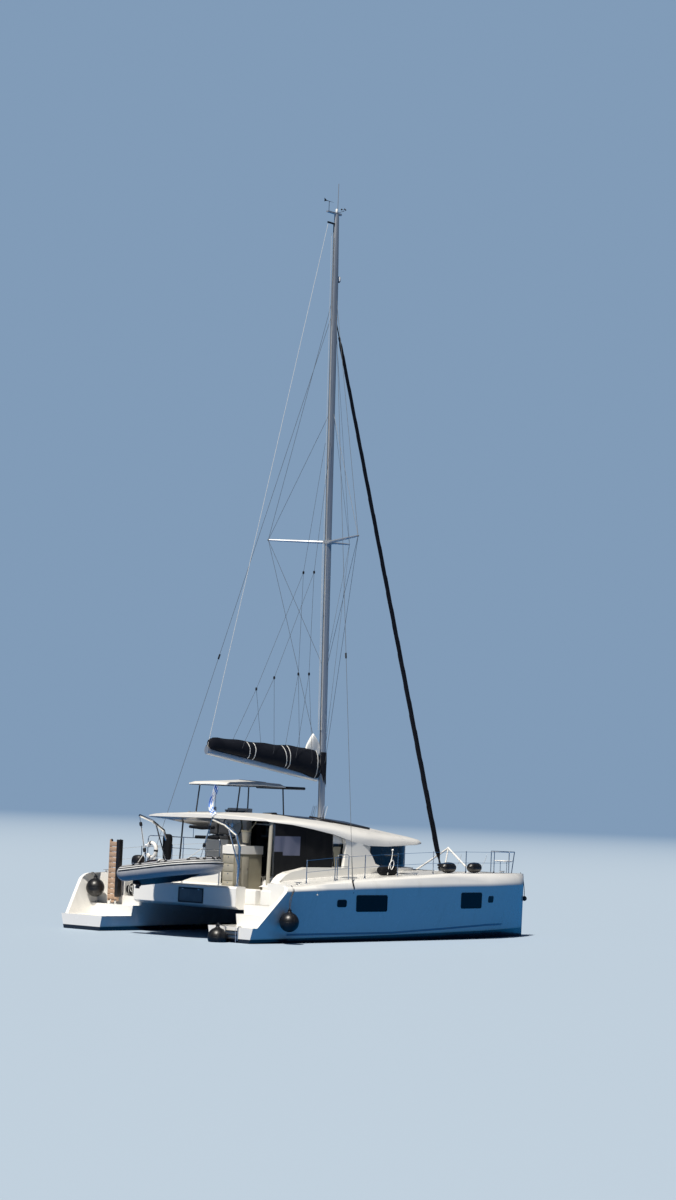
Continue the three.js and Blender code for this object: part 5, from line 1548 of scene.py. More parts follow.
def make_stairs_bag():
    """Black bag tied up with white line on the port stairs."""
    x = -4.86
    foot = onto(surface_of("hull_port"), (x, 2.3, 1.15), DOWN)[0].z
    middle = foot + 0.18
    rings = []
    for k in range(15):
        t = k / 14
        swell = sin(pi * min(max(t, 0.03), 0.97)) ** 0.3
        lump = 0.012 * noise.noise(Vector((t * 6, 1, 2)))
        rings.append([
            Vector((x + p.x, 1.8 + 0.8 * t, max(foot + 0.002, middle + p.z)))
            for p in ellipse((lump, 0, 0), FORE, UP, 0.145 * swell, 0.18 * swell, 28, 0.8)
        ])
    bag = Shape()
    bag.rings(rings)
    made = bag.piece("stairs_bag", "black_canvas", "canvas", angle=CLOTH_ANGLE)
    subdivide(made)
    ties = Shape()
    for k in (3, 6, 8, 11):
        tie = [p + (p - Vector((x, p.y, middle))).normalized() * 0.006 for p in rings[k]]
        ties.tube(tie, 0.008, 6, closed=True)
    for y in (1.98, 2.12, 2.3):
        loop = ellipse((-5.015, y, foot + 0.2), PORT, (0, 0.2, 1), 0.045, 0.075, 20)
        ties.tube(loop, 0.008, 6, closed=True)
    ties.piece("stairs_bag_ties", "rope_white", "netting")


WHEEL_CENTRE = Vector((-2.33, 1.075, 2.95))


def make_helm_gear():
    """Screens, switches and engine levers on the helm's console, and the wheel's grip."""
    shape = Shape()
    slope = Vector((-0.66, 0, 0.75)).normalized()
    up = Vector((0.75, 0, 0.66)).normalized()

    def panel(y, height, width, tall, thick, mat):
        middle = Vector((-2.185, y, 3.32)) + up * height
        shape.rings([
            [middle + PORT * u + up * v + slope * lift for u, v in round_rect(width, tall, 0.012, inset)]
            for inset, lift in ((0, -0.005), (0, thick), (0.006, thick + 0.004))
        ], mat)

    panel(1.08, -0.03, 0.8, 0.22, 0.004, 3)
    for y in (0.92, 1.24):
        panel(y, -0.04, 0.27, 0.17, 0.014, 1)
        panel(y, -0.037, 0.235, 0.13, 0.016, 0)
    for k in range(5):
        panel(0.73, -0.09 + 0.045 * k, 0.03, 0.022, 0.012, 2)
    shape.box((-2.26, 1.36, 3.2), (-2.12, 1.46, 3.3), 0.02, 1)
    for y in (1.385, 1.435):
        shape.tube([(-2.2, y, 3.28), (-2.26, y, 3.36)], 0.009, mat=2)
        shape.ball((-2.265, y, 3.37), 0.02, 1, 14)
    shape.piece("helm_instruments", "screen trim_black steel gelcoat", "black_rubber")
    cover = Shape()
    cover.tube(ellipse(WHEEL_CENTRE, PORT, UP, 0.34, 0.34, 48), 0.0175, 12, closed=True)
    cover.piece("wheel_grip", "rubber", "steel", "helm_wheel")


def make_bimini_gear():
    """The bimini's window, its flap and the bows under it."""
    shape = Shape()
    pane(shape, surface_of("helm_bimini"), (-1.95, 0.75, 4.2), (0.5, 0.6), 0.05, 0.014, 0.006)
    shape.box((-1.3, 0, 4.02), (-0.5, 1.2, 4.1), 0.03, 1)
    for y in (0.16, 1.76):
        shape.tube([(-3.4 + 2.2 * k / 20, y, 4.058) for k in range(21)], 0.012, mat=2)
    for x in (-3.36, -2.3, -1.3):
        bow = [(x, 0.1 + 1.72 * k / 12, 4.056 + 0.045 * sin(pi * k / 12)) for k in range(13)]
        shape.tube(bow, 0.012, mat=2)
    shape.piece("bimini_frame", "frame_grey trim_black wire", "steel")


# Rails and deck

STANCHION_X = [4.1, 2.5, 0.9, -0.7, -2.1, -3.35, -4.5]
STANCHION_HIGH = 0.615
GATE_X, GATE_TOP = (-3.22, -2.75), 2.32


def make_rail_gear():
    """Feet of the stanchions, the gates' hoops and the seats in the pulpits."""
    for name, side in SIDES.items():
        deck = surface_of(f"hull_{name}")
        shape = Shape()
        rail = [v.co for v in NODES[f"guard_rail_{name}"].data.vertices]
        feet = []
        for x in STANCHION_X:
            near = [p.y for p in rail if abs(p.x - x) < 0.03]
            feet.append((x, sum(near) / len(near)))
        base = [(0.04, -0.004), (0.04, 0.006), (0.022, 0.014), (0.018, 0.07), (0.013, 0.075)]
        cap = [(0.013, 0), (0.016, 0.004), (0.012, 0.016), (0, 0.02)]
        for x, y in feet:
            spot = lifted(deck, x, y)
            shape.lathe(base, spot, sides=16)
            shape.lathe(cap, spot + UP * STANCHION_HIGH, sides=12)
        y = feet[4][1] * 0.99
        x0, x1 = GATE_X
        ground = lifted(deck, (x0 + x1) / 2, y).z
        low = ground - 0.01
        hoop = [(x0, y, low), (x0, y, GATE_TOP), (x1, y, GATE_TOP), (x1, y, low)]
        shape.tube(rounded(hoop, 0.08), 0.0125, 10)
        shape.tube([(x0, y, 2), (x1, y, 2)], 0.009)
        for x in GATE_X:
            shape.lathe([(0.04, 0), (0.04, 0.006), (0.015, 0.02)], (x, y, ground), sides=16)
        seat = Vector((5.45, side * 2.66, 2.2))
        for k in range(5):
            slat = seat + FORE * 0.075 * k
            shape.box(slat + Vector((-0.18, -0.2, -0.012)), slat + Vector((-0.12, 0.2, 0.012)), 0.006, 1)
        for dy in (-0.15, 0.15):
            bar = seat + PORT * dy
            shape.box(bar - Vector((0.18, 0.015, 0.03)), bar + Vector((0.18, 0.015, -0.012)), 0.004)
        for dx in (-0.16, 0.16):
            shape.tube([seat + FORE * dx - UP * 0.02, lifted(deck, seat.x + dx, seat.y)], 0.01)
        shape.piece(f"rail_gear_{name}", "steel gelcoat", "steel")


def cleat(shape, spot):
    """A cleat along x: two feet and a horn with tapered ends."""
    foot = [(0.024, -0.003), (0.022, 0.006), (0.012, 0.02), (0.012, 0.05)]
    for dx in (-0.05, 0.05):
        shape.lathe(foot, spot + FORE * dx, sides=14)
    horn = [spot + FORE * dx + UP * z for dx, z in ((-0.15, 0.062), (-0.09, 0.054), (0, 0.05), (0.09, 0.054))]
    shape.tube(horn + [spot + FORE * 0.15 + UP * 0.062], [0.006, 0.012, 0.015, 0.012, 0.006], 10)


def make_deck_gear():
    """Cleats, deck hatches, windlass and anchor, and a line with a ball from the starboard bow."""
    shape, hatches = Shape(), Shape()
    for name, side in SIDES.items():
        deck = surface_of(f"hull_{name}")
        for x, y in ((5, 2.95), (0.1, 3.58), (-4.75, 3.52), (-5.1, 3.52)):
            cleat(shape, lifted(deck, x, side * y))
        for x, y, size in ((4.35, 2.7, 0.52), (0.2, 3.1, 0.42), (-2.3, 3.2, 0.36)):
            pane(hatches, deck, (x, side * y, 1.8), (size, size * 0.8), 0.05, 0.024, 0.016)
    foredeck = surface_of("bridgedeck")
    for y in (-1.2, 1.2):
        pane(hatches, foredeck, (3.05, y, 1.8), (0.6, 1.1), 0.05, 0.012, 0.008)
    walk = surface_of("foredeck_walkway")
    spot = lifted(walk, 3.75, 0)
    drum = [(0.12, -0.004), (0.12, 0.03), (0.09, 0.05), (0.075, 0.12), (0.1, 0.14), (0.1, 0.17), (0.03, 0.19)]
    shape.lathe(drum, spot, sides=28)
    shape.box(spot + Vector((-0.26, -0.08, -0.002)), spot + Vector((-0.09, 0.08, 0.1)), 0.03)
    chain = [lifted(walk, 3.85 + 0.05 * k, 0.006 * (-1) ** k, 0.016) for k in range(42)]
    shape.tube(chain, [0.012 if k % 2 else 0.007 for k in range(42)], 6)
    for y in (-0.06, 0.05):
        shape.box((5.85, y, 1.79), (6.2, y + 0.01, 1.9), 0.004)
    shape.lathe([(0.04, -0.045), (0.025, 0), (0.04, 0.045)], (6.16, 0, 1.84), PORT, 20)
    shank = [(5.85, 0, 1.88), (6.1, 0, 1.885), (6.26, 0, 1.8), (6.3, 0, 1.66)]
    shape.tube(shank, [0.018, 0.02, 0.02, 0.018])
    fluke = [(6.31, 0.02, 1.7), (6.28, 0.11, 1.62), (6.2, 0.15, 1.55), (6.1, 0.1, 1.52), (6.02, 0.01, 1.52)]
    shape.rings([
        [(x, -w, z), (x + 0.012, 0, z + 0.012), (x, w, z), (x - 0.012, 0, z - 0.02)] for x, w, z in fluke
    ])
    line = [(6.25, -2.7, 1.86), (6.36, -2.72, 1.7), (6.44, -2.72, 1.4), (6.46, -2.72, 1.16)]
    shape.tube(eased(line, 6), 0.01, mat=1)
    shape.ball((6.465, -2.72, 1.1), 0.075, 1, 20)
    shape.piece("deck_fittings", "steel rubber", "steel")
    hatches.piece("deck_hatches", "glass alloy", "dark_glass")


DECK_FENDER_R = 0.155
# x, y and height above the deck
POLE_ROUTE = [
    (-0.72, -3.26, 0.02), (-0.66, -3.27, 0.3), (-0.52, -3.27, 0.42), (-0.47, -3.27, 0.3),
    (-0.58, -3.28, 0.16), (-0.62, -3.27, 0.3), (-0.55, -3.26, 0.5), (-0.53, -3.26, 0.68),
]


def make_fenders_and_bag():
    """Two long fenders on deck, the black bag and the white pole beside it."""
    deck = surface_of("hull_starboard")
    r = DECK_FENDER_R
    for number, (x, y, length) in enumerate(((1.95, -3.3, 0.6), (3.37, -3.15, 0.56))):
        spot = lifted(deck, x, y, r)
        shape = Shape()
        h = length / 2
        aft_end = [(0.03, -h - 0.05), (0.035, -h), (r * 0.6, 0.02 - h), (r, 0.09 - h)]
        shape.lathe(aft_end + [(ring_r, -d) for ring_r, d in reversed(aft_end)], spot, (1, 0.1, 0), 28)
        tip = spot + FORE * (h + 0.05)
        shape.tube([tip, tip + Vector((0.05, -0.1, 0.2)), tip + Vector((0, -0.2, 0.42))], 0.007, 6, 1)
        subdivide(shape.piece(f"deck_fender_{number + 1}", "rubber rope_white", "black_rubber"))
    spot = lifted(deck, -0.56, -3.12)
    rings = []
    for k in range(13):
        t = k / 12
        swell = sin(pi * min(max(t, 0.04), 0.96)) ** 0.28
        middle = (spot.x - 0.36 + 0.72 * t, spot.y, spot.z + 0.13)
        high = 0.14 * swell + 0.02 * sin(9 * t)
        rings.append([
            (p.x, p.y, max(p.z, spot.z + 0.002))
            for p in ellipse(middle, PORT, UP, 0.17 * swell, high, 26, 0.8)
        ])
    bag = Shape()
    bag.rings(rings)
    made = bag.piece("deck_bag", "black_canvas", "canvas", angle=CLOTH_ANGLE)
    subdivide(made)
    pole = Shape()
    loop = eased([(x, y, spot.z + up) for x, y, up in POLE_ROUTE], 8)
    pole.tube(loop, 0.011, 10)
    pole.ball(loop[-1] + UP * 0.015, 0.032, sides=18)
    pole.piece("deck_pole", "gelcoat", "gelcoat")


def make_stern_gear():
    """Folded swimming ladder and the black frame of the locker's lid."""
    shape = Shape()
    for y in (-2.6, -3.02):
        shape.tube(rounded([(-6.4, y, 0.412), (-6.48, y, 0.412), (-6.48, y, 0.06)], 0.05), 0.013, 10)
        shape.box((-6.42, y - 0.03, 0.4), (-6.36, y + 0.03, 0.425), 0.008)
    for z in (0.1, 0.2, 0.3):
        shape.box((-6.5, -3.01, z - 0.012), (-6.462, -2.61, z + 0.012), 0.006, 1)
    shape.tube([(-6.49, -2.96, 0.38), (-6.5, -2.97, 0.2), (-6.5, -2.98, 0.01)], 0.006, 6, 2)
    shape.piece("swim_ladder", "steel trim_black rope_blue", "steel")
    lid = Shape()
    lo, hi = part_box("aft_locker_lid")
    middle = (Vector(lo) + Vector(hi)) / 2
    lid.rings([
        [(x, middle.y + u, middle.z + v) for u, v in round_rect(hi[1] - lo[1], hi[2] - lo[2], 0.04, inset)]
        for inset, x in ((0.004, lo[0]), (0.006, lo[0] - 0.009), (0.036, lo[0] - 0.009), (0.04, lo[0]))
    ], capped=False)
    for y in (-0.55, 0.04):
        lid.box((lo[0] - 0.02, y - 0.03, hi[2] - 0.05), (lo[0] - 0.004, y + 0.03, hi[2] - 0.02), 0.006, 1)
    lid.piece("locker_lid_frame", "trim_black steel", "black_rubber", "aft_locker_lid")


# Rigging

BOOM_SIDE = 0.075
CHAINPLATE = Vector((-2.84, 3.785, 1.56))
STAFF_FOOT, STAFF_HIGH = (-4.36, -0.1), 0.74


def make_rig_lines():
    """Lower stays, halyards, sail track and the ends of the shrouds."""
    shape = Shape()
    tip = (0.995, 0, 11.18)
    for z in (17.3, 14.85, 7.87, 5.2):
        shape.tube([tip, (mast_x(z) + 0.11, 0, z)], 0.0045, 6)
    foot_z = 5.75
    for y, top in ((0.03, 20.1), (-0.04, 20.1), (0.06, 11.2), (-0.07, 17.4)):
        shape.tube([(mast_x(top) - 0.17, y, top), (mast_x(foot_z) - 0.15, y, foot_z)], 0.005, 6, 1)
    shape.tube([(mast_x(z) - 0.124, 0, z) for z in (4.6, 8, 12, 16, 20.4)], 0.011, 6, 2)
    for side in (-1, 1):
        foot = Vector((CHAINPLATE.x, side * CHAINPLATE.y, CHAINPLATE.z))
        along = (Vector((mast_x(RIG_TOP), side * 0.07, RIG_TOP)) - foot).normalized()
        low = [foot + Vector((0, side * out, -down)) for out, down in ((0.035, 0.08), (0.04, 0.25))]
        shape.tube([foot + along * 0.1, *low], [0.018, 0.036, 0.012], 12, 2)
        shape.tube([foot + along * 0.12, foot + along * 0.32], 0.014, 10)
        shape.tube([foot + along * 6.35, foot + along * 6.5], 0.025, 10, 2)
    shape.piece("rig_lines", "wire rope_white trim_black", "steel")


def make_boom_lines():
    """Topping lift and lazy lines, from the mast down to the boom."""
    lift = Shape()
    lift.tube([(-0.53, 0, 20.36), (-4.68, 0, 5.04)], 0.006)
    block = [(0, 0), (0.03, 0.02), (0.034, 0.06), (0.03, 0.1), (0, 0.12)]
    lift.lathe(block, (-4.65, 0, 5), (0.25, 0, 1), 14, 1)
    made = lift.piece("topping_lift", "rope_white trim_black", "steel", None)
    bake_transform(made)
    for name, side in SIDES.items():
        y = side * 0.2
        first, third = Vector((-0.76, y, 10.2)), Vector((-0.8, y, 7.3))
        second = Vector((-2.56, y, 6.77)) if side > 0 else Vector((-2.28, y, 7.1))
        routes = [[(mast_x(14) - 0.12, side * 0.1, 14), first], [first, second], [first, third]]
        for start, x in ((second, -3.45), (second, -2.2), (third, -1.25), (third, -0.55)):
            z = boom_z(x)
            routes.append([start, (x, side * 0.235, z + 0.42), (x, side * BOOM_SIDE, z)])
        shape = Shape()
        for route in routes:
            shape.tube(route, 0.005, 6)
        eye = [(0, -0.05), (0.026, -0.035), (0.03, 0), (0.026, 0.035), (0, 0.05)]
        for spot in (first, second, third):
            shape.lathe(eye, spot, sides=14, mat=1)
        made = shape.piece(f"lazy_lines_{name}", "rope_dark trim_black", "steel", None)
        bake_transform(made)


def make_mast_gear():
    """Steaming light, masthead instruments and light, and the light on its staff aft."""
    shape = Shape()
    x = mast_x(18.8) + 0.13
    lens = [(0.03, 0), (0.055, 0.02), (0.06, 0.09), (0.05, 0.15), (0, 0.17)]
    shape.lathe(lens, (x + 0.04, 0, 18.72), sides=20)
    shape.box((x - 0.03, -0.03, 18.7), (x + 0.06, 0.03, 18.735), 0.008, 1)
    shape.tube([(-0.2, 0.02, 20.72), (-0.2, 0.28, 20.75), (-0.2, 0.28, 21.08)], 0.008, mat=1)
    vane = [(0.04, 21.09), (-0.32, 21.1), (-0.42, 21.15), (-0.42, 21.04), (-0.32, 21.08)]
    shape.rings([[(vx, y, vz) for vx, vz in vane] for y in (0.28, 0.277)], 1)
    shape.box((-0.56, -0.018, 20.35), (-0.2, 0.018, 20.4), 0.008, 1)
    shape.tube([(-0.2, -0.02, 20.7), (-0.15, -0.25, 20.74)], 0.007, mat=1)
    hub = Vector((-0.15, -0.25, 20.79))
    for a in circle(3):
        cup = hub + Vector((cos(a), sin(a), 0)) * 0.07
        shape.tube([hub, cup], 0.003, 6, 1)
        shape.lathe([(0, -0.02), (0.018, -0.012), (0.026, 0)], cup, (-sin(a), cos(a), 0), 12, 1)
    shape.tube([hub - UP * 0.06, hub + UP * 0.01], 0.006, mat=1)
    light = [(0.03, 0), (0.034, 0.02), (0.034, 0.09), (0.02, 0.11), (0, 0.11)]
    shape.lathe(light, (-0.18, 0, 20.72), sides=18)
    shape.piece("mast_fittings", "gelcoat trim_black", "alloy")
    lamp = Shape()
    foot = lifted(surface_of("hardtop"), *STAFF_FOOT)
    lamp.tube([foot, foot + UP * STAFF_HIGH], 0.009, mat=1)
    base = foot + Vector((0.05, 0.05, 0))
    lamp.lathe([(0.02, 0), (0.034, 0.015), (0.034, 0.1), (0.02, 0.12)], base + UP * 0.05, sides=18)
    lamp.tube([base, base + UP * 0.06], 0.012, mat=1)
    lamp.piece("stern_light", "trim_black steel", "black_rubber")


# x, y and height above the staff's foot
FLAG_ROUTE = [
    (-4.36, -0.11, STAFF_HIGH), (-4.35, -0.04, 0.55), (-4.37, 0.05, 0.3), (-4.4, 0.02, 0.14),
    (-4.45, -0.08, 0.035), (-4.52, -0.2, 0.02), (-4.575, -0.28, -0.05),
]


def make_flag():
    """Striped bunting round its staff, with its tail over the hardtop's aft edge."""
    foot = lifted(surface_of("hardtop"), *STAFF_FOOT)
    route = eased([(x, y, foot.z + up) for x, y, up in FLAG_ROUTE], 8)
    rows = []
    for k, p in enumerate(route):
        ahead = (route[min(k + 1, len(route) - 1)] - route[max(k - 1, 0)]).normalized()
        across = ahead.cross(Vector((1, 0.3, 0))).normalized()
        row = []
        for j in range(13):
            u = j / 12 - 0.5
            fold = 0.018 * sin(u * 19 + k * 0.12)
            row.append(p + across * (u * 0.15) + ahead.cross(across) * fold)
        rows.append(row)
    shape = Shape()
    shape.skin(rows, 0.002)
    made = shape.piece("striped_flag", "flag", "canvas", angle=radians(80))


# Stage

SUN_TOWARD = Vector((-0.5, -0.14, 0.86))
PHOTO_CAMERA = {"distance": 73.71, "bearing": 49.6, "height": 3.64, "pitch": 4.54, "roll": 2.3, "yaw": 0.29}
PHOTO_FOCAL, PHOTO_HEIGHT, SENSOR = 2579.45, 1200, 36
FLOOR_R = 900


def two_shaders(tree, share, low, high):
    mix = add_node(tree, "MixShader", Fac=share)
    tree.links.new(low.outputs[0], mix.inputs[1])
    tree.links.new(high.outputs[0], mix.inputs[2])
    return mix.outputs[0]


def stage_floor(settings):
    """A wide level disc that fades into the backdrop. Its light on the boat has a colour of its own."""
    radii, sides = (0.01, 6, 12, 25, 60, 150, 400, FLOOR_R), 96
    faces = [range(sides)]
    for i in range((len(radii) - 1) * sides):
        j = i + 1 if (i + 1) % sides else i + 1 - sides
        faces.append((i, i + sides, j + sides, j))
    mesh = bpy.data.meshes.new("floor")
    mesh.from_pydata([(r * cos(a), r * sin(a), 0) for r in radii for a in circle(sides)], [], faces)
    floor = in_scene("floor", mesh)
    mat = plain("floor", settings.floor, 0.6, Specular_IOR_Level=0.2)
    tree = mat.node_tree
    rays = add_node(tree, "LightPath")
    tint(mat, settings.bounce, minus(tree, 1, rays.outputs["Is Camera Ray"]))
    where, _ = place(tree)
    length = add_node(tree, "VectorMath")
    length.operation = "LENGTH"
    tree.links.new(where, length.inputs[0])
    glow = add_node(tree, "Emission", Color=(*settings.backdrop, 1))
    far = ramp(tree, length.outputs["Value"], 40, 500)
    shown = two_shaders(tree, far, tree.nodes["Principled BSDF"], glow)
    tree.links.new(shown, tree.nodes["Material Output"].inputs["Surface"])
    floor.data.materials.append(mat)


def stage_world(settings):
    """Even light from all round. The camera sees a plain backdrop colour."""
    bpy.context.scene.view_settings.view_transform = "Standard"
    world = bpy.data.worlds.new("studio")
    world.use_nodes = True
    tree = world.node_tree
    base = tree.nodes["Background"]
    base.inputs["Color"].default_value = (*settings.fill_light, 1)
    base.inputs["Strength"].default_value = settings.fill_strength
    seen = add_node(tree, "Background", Color=(*settings.backdrop, 1))
    rays = add_node(tree, "LightPath")
    shown = two_shaders(tree, rays.outputs["Is Camera Ray"], base, seen)
    tree.links.new(shown, tree.nodes["World Output"].inputs["Surface"])
    bpy.context.scene.world = world


def stage_camera():
    """The camera stands where the photo was taken from."""
    view = PHOTO_CAMERA
    th, yaw = radians(view["bearing"]), radians(view["yaw"])
    pitch, roll = radians(view["pitch"]), radians(view["roll"])
    spot = Vector((-sin(th), -cos(th), 0)) * view["distance"] + UP * view["height"]
    level = Vector((sin(th + yaw), cos(th + yaw), 0))
    right = Vector((cos(th + yaw), -sin(th + yaw), 0))
    look = level * cos(pitch) + UP * sin(pitch)
    tall = UP * cos(pitch) - level * sin(pitch)
    across = right * cos(roll) + tall * sin(roll)
    tall = tall * cos(roll) - right * sin(roll)
    data = bpy.data.cameras.new("photo camera")
    data.sensor_width = SENSOR
    data.lens = PHOTO_FOCAL * SENSOR / PHOTO_HEIGHT
    data.clip_end = 4000
    camera = in_scene("photo camera", data)
    turn = Matrix((across, tall, -look)).transposed().to_4x4()
    camera.matrix_world = Matrix.Translation(spot) @ turn
    bpy.context.scene.camera = camera


def stage_sun(settings):
    data = bpy.data.lights.new("sun", "SUN")
    data.energy = settings.sun_strength
    data.angle = radians(settings.sun_softness)
    data.color = settings.sun_colour
    sun = in_scene("sun", data)
    sun.rotation_euler = SUN_TOWARD.to_track_quat("Z", "Y").to_euler()


# Settings

def colour_setting(name, text, default):
    return bpy.props.FloatVectorProperty(
        name=name, description=text, default=default, size=3, min=0, max=1, subtype="COLOR",
    )


def number_setting(name, text, default, top, unit="NONE"):
    return bpy.props.FloatProperty(name=name, description=text, default=default, min=0.0, max=top, unit=unit)


class CatamaranSettings(bpy.types.PropertyGroup):
    gelcoat: colour_setting("Gelcoat", "White of the hulls, deck and roof", (0.80, 0.79, 0.755))
    gelcoat_shade: colour_setting("Weathered gelcoat", "Duller patches of the gelcoat", (0.68, 0.675, 0.64))
    topside_stain: colour_setting("Topside stain", "Faint marks that run down the hulls", (0.60, 0.58, 0.52))
    waterline_stain: colour_setting("Waterline stain", "Growth just above the boot line", (0.45, 0.42, 0.28))
    # Painted shade colour in the moulded rubbing groove.
    groove: colour_setting("Rubbing groove shade", "Dark line along the topsides", (0.1, 0.16, 0.28))
    antifouling: colour_setting("Antifouling", "Paint below the waterline", (0.016, 0.018, 0.022))
    # Painted shade colour for the hardtop's underside.
    roof_underside_shade: colour_setting("Roof underside shade", "Underside of the hardtop", (0.05, 0.05, 0.052))
    canvas: colour_setting("Canvas", "Sail bag and sun strip of the headsail", (0.003, 0.004, 0.008))
    teak: colour_setting("Teak", "Slats of the gangway", (0.46, 0.31, 0.21))
    tender: colour_setting("Tender", "Coated fabric of the tender's tubes", (0.3, 0.31, 0.33))
    upholstery: colour_setting("Upholstery", "Vinyl of the cockpit cushions", (0.33, 0.3, 0.24))
    floor: colour_setting("Floor", "Plain studio floor", (0.34, 0.42, 0.51))
    bounce: colour_setting("Bounce", "Colour of the light that the floor throws back", (0.0, 0.085, 0.25))
    backdrop: colour_setting("Backdrop", "Colour behind the boat", (0.22, 0.33, 0.48))
    fill_light: colour_setting("Fill light", "Colour of the even light", (0.38, 0.57, 0.92))
    sun_colour: colour_setting("Key light", "Colour of the main light", (1.0, 0.94, 0.85))
    net_pitch: number_setting("Net mesh", "From cord to cord of the nets", 0.075, 0.3, "LENGTH")
    net_cord: number_setting("Net cord", "Thickness of the nets' cords", 0.0084, 0.03, "LENGTH")
    net_sag: number_setting("Net sag", "How far the nets hang down in the middle", 0.045, 0.3, "LENGTH")
    fill_strength: number_setting("Fill strength", "Strength of the even light", 0.155, 5.0)
    sun_strength: number_setting("Key strength", "Strength of the main light", 6.0, 20.0)
    sun_softness: number_setting("Key softness", "Width of the main light in degrees", 4.0, 30.0)


# Operators

class CATAMARAN_OT_finishes(bpy.types.Operator):
    """Make the finishes and give them to the boat's own parts"""
    bl_idname = "catamaran.finishes"
    bl_label = "Finishes"

    def execute(self, context):
        make_finishes(context.scene.catamaran)
        dress_nodes()
        return {"FINISHED"}


class CATAMARAN_OT_stage(bpy.types.Operator):
    """Plain floor, soft studio light and the camera"""
    bl_idname = "catamaran.stage"
    bl_label = "Stage"

    def execute(self, context):
        settings = context.scene.catamaran
        stage_camera()
        stage_world(settings)
        stage_sun(settings)
        stage_floor(settings)
        return {"FINISHED"}


class CATAMARAN_OT_seats(bpy.types.Operator):
    """Upholstered bench across the cockpit and the padded helm seat"""
    bl_idname = "catamaran.seats"
    bl_label = "Seats"

    def execute(self, context):
        make_bench()
        make_helm_seat()
        return {"FINISHED"}


class CATAMARAN_OT_sails(bpy.types.Operator):
    """Mainsail in its bag on the boom, and the headsail rolled on its stay"""
    bl_idname = "catamaran.sails"
    bl_label = "Stowed sails"

    def execute(self, context):
        make_sail_bag()
        make_headsail()
        return {"FINISHED"}


class CATAMARAN_OT_ball_fenders(bpy.types.Operator):
    """Round fenders with their lines"""
    bl_idname = "catamaran.ball_fenders"
    bl_label = "Ball fenders"

    def execute(self, context):
        make_ball_fenders()
        return {"FINISHED"}


class CATAMARAN_OT_curtain(bpy.types.Operator):
    """Canvas curtain on the cockpit's starboard side"""
    bl_idname = "catamaran.curtain"
    bl_label = "Cockpit curtain"

    def execute(self, context):
        make_curtain()
        return {"FINISHED"}


class CATAMARAN_OT_tender(bpy.types.Operator):
    """Tender with its tubes, thwarts, falls and motor"""
    bl_idname = "catamaran.tender"
    bl_label = "Tender"

    def execute(self, context):
        make_tender()
        make_outboard()
        return {"FINISHED"}


class CATAMARAN_OT_nets(bpy.types.Operator):
    """Nets between the hulls"""
    bl_idname = "catamaran.nets"
    bl_label = "Nets"

    def execute(self, context):
        make_nets(context.scene.catamaran)
        return {"FINISHED"}


class CATAMARAN_OT_gangway(bpy.types.Operator):
    """Slats, side rails and small parts of the gangway"""
    bl_idname = "catamaran.gangway"
    bl_label = "Gangway"

    def execute(self, context):
        NODES["gangway"].material_slots[0].material = FINISH["teak"]
        make_gangway()
        return {"FINISHED"}


class CATAMARAN_OT_windows(bpy.types.Operator):
    """Windows in the hulls' sides and the screen over the saloon's window"""
    bl_idname = "catamaran.windows"
    bl_label = "Windows"

    def execute(self, context):
        make_hull_windows()
        make_screen()
        return {"FINISHED"}


class CATAMARAN_OT_roof_gear(bpy.types.Operator):
    """Solar panels, hatches, mast foot and clutches"""
    bl_idname = "catamaran.roof_gear"
    bl_label = "Roof gear"

    def execute(self, context):
        make_roof_gear()
        return {"FINISHED"}


class CATAMARAN_OT_cockpit_gear(bpy.types.Operator):
    """Locker fronts, table top, stern rail, lamp and the bag on the stairs"""
    bl_idname = "catamaran.cockpit_gear"
    bl_label = "Cockpit gear"

    def execute(self, context):
        make_cockpit_gear()
        make_stairs_bag()
        return {"FINISHED"}


class CATAMARAN_OT_helm_gear(bpy.types.Operator):
    """Instruments and grip of the helm, and the frame of its bimini"""
    bl_idname = "catamaran.helm_gear"
    bl_label = "Helm gear"

    def execute(self, context):
        make_helm_gear()
        make_bimini_gear()
        return {"FINISHED"}


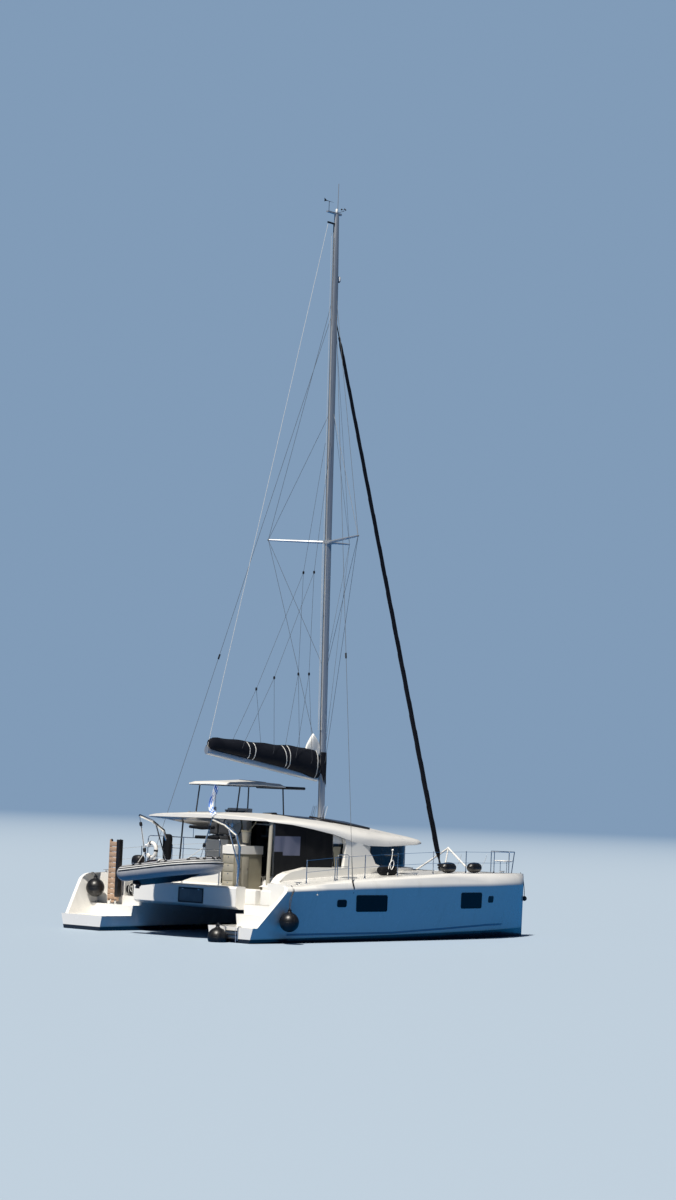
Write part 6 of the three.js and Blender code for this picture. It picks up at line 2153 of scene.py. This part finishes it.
class CATAMARAN_OT_deck_gear(bpy.types.Operator):
    """Rail feet, gate hoops, cleats, hatches, anchor, fenders and bag"""
    bl_idname = "catamaran.deck_gear"
    bl_label = "Deck gear"

    def execute(self, context):
        make_rail_gear()
        make_deck_gear()
        make_fenders_and_bag()
        return {"FINISHED"}


class CATAMARAN_OT_stern_gear(bpy.types.Operator):
    """Swimming ladder and the frame of the locker's lid"""
    bl_idname = "catamaran.stern_gear"
    bl_label = "Stern gear"

    def execute(self, context):
        make_stern_gear()
        return {"FINISHED"}


class CATAMARAN_OT_rigging(bpy.types.Operator):
    """Lines of the mast and boom, the mast's fittings and the flag"""
    bl_idname = "catamaran.rigging"
    bl_label = "Rigging"

    def execute(self, context):
        make_rig_lines()
        make_boom_lines()
        make_mast_gear()
        make_flag()
        return {"FINISHED"}


OPERATORS = [
    CATAMARAN_OT_finishes, CATAMARAN_OT_stage, CATAMARAN_OT_seats, CATAMARAN_OT_sails,
    CATAMARAN_OT_ball_fenders, CATAMARAN_OT_curtain, CATAMARAN_OT_tender, CATAMARAN_OT_nets,
    CATAMARAN_OT_gangway, CATAMARAN_OT_windows, CATAMARAN_OT_roof_gear, CATAMARAN_OT_cockpit_gear,
    CATAMARAN_OT_helm_gear, CATAMARAN_OT_deck_gear, CATAMARAN_OT_stern_gear, CATAMARAN_OT_rigging,
]


class CATAMARAN_PT_panel(bpy.types.Panel):
    bl_label = "Catamaran"
    bl_idname = "CATAMARAN_PT_panel"
    bl_space_type = "VIEW_3D"
    bl_region_type = "UI"
    bl_category = "Catamaran"

    def draw(self, context):
        settings = context.scene.catamaran
        for name in CatamaranSettings.__annotations__:
            self.layout.prop(settings, name)
        for operator in OPERATORS:
            self.layout.operator(operator.bl_idname)


CLASSES = [CatamaranSettings, *OPERATORS, CATAMARAN_PT_panel]


def register():
    for cls in CLASSES:
        bpy.utils.register_class(cls)
    bpy.types.Scene.catamaran = bpy.props.PointerProperty(type=CatamaranSettings)


def unregister():
    del bpy.types.Scene.catamaran
    for cls in reversed(CLASSES):
        bpy.utils.unregister_class(cls)


def main():
    register()
    for operator in OPERATORS:
        getattr(bpy.ops.catamaran, operator.bl_idname.split(".")[1])()


if __name__ == "__main__":
    main()
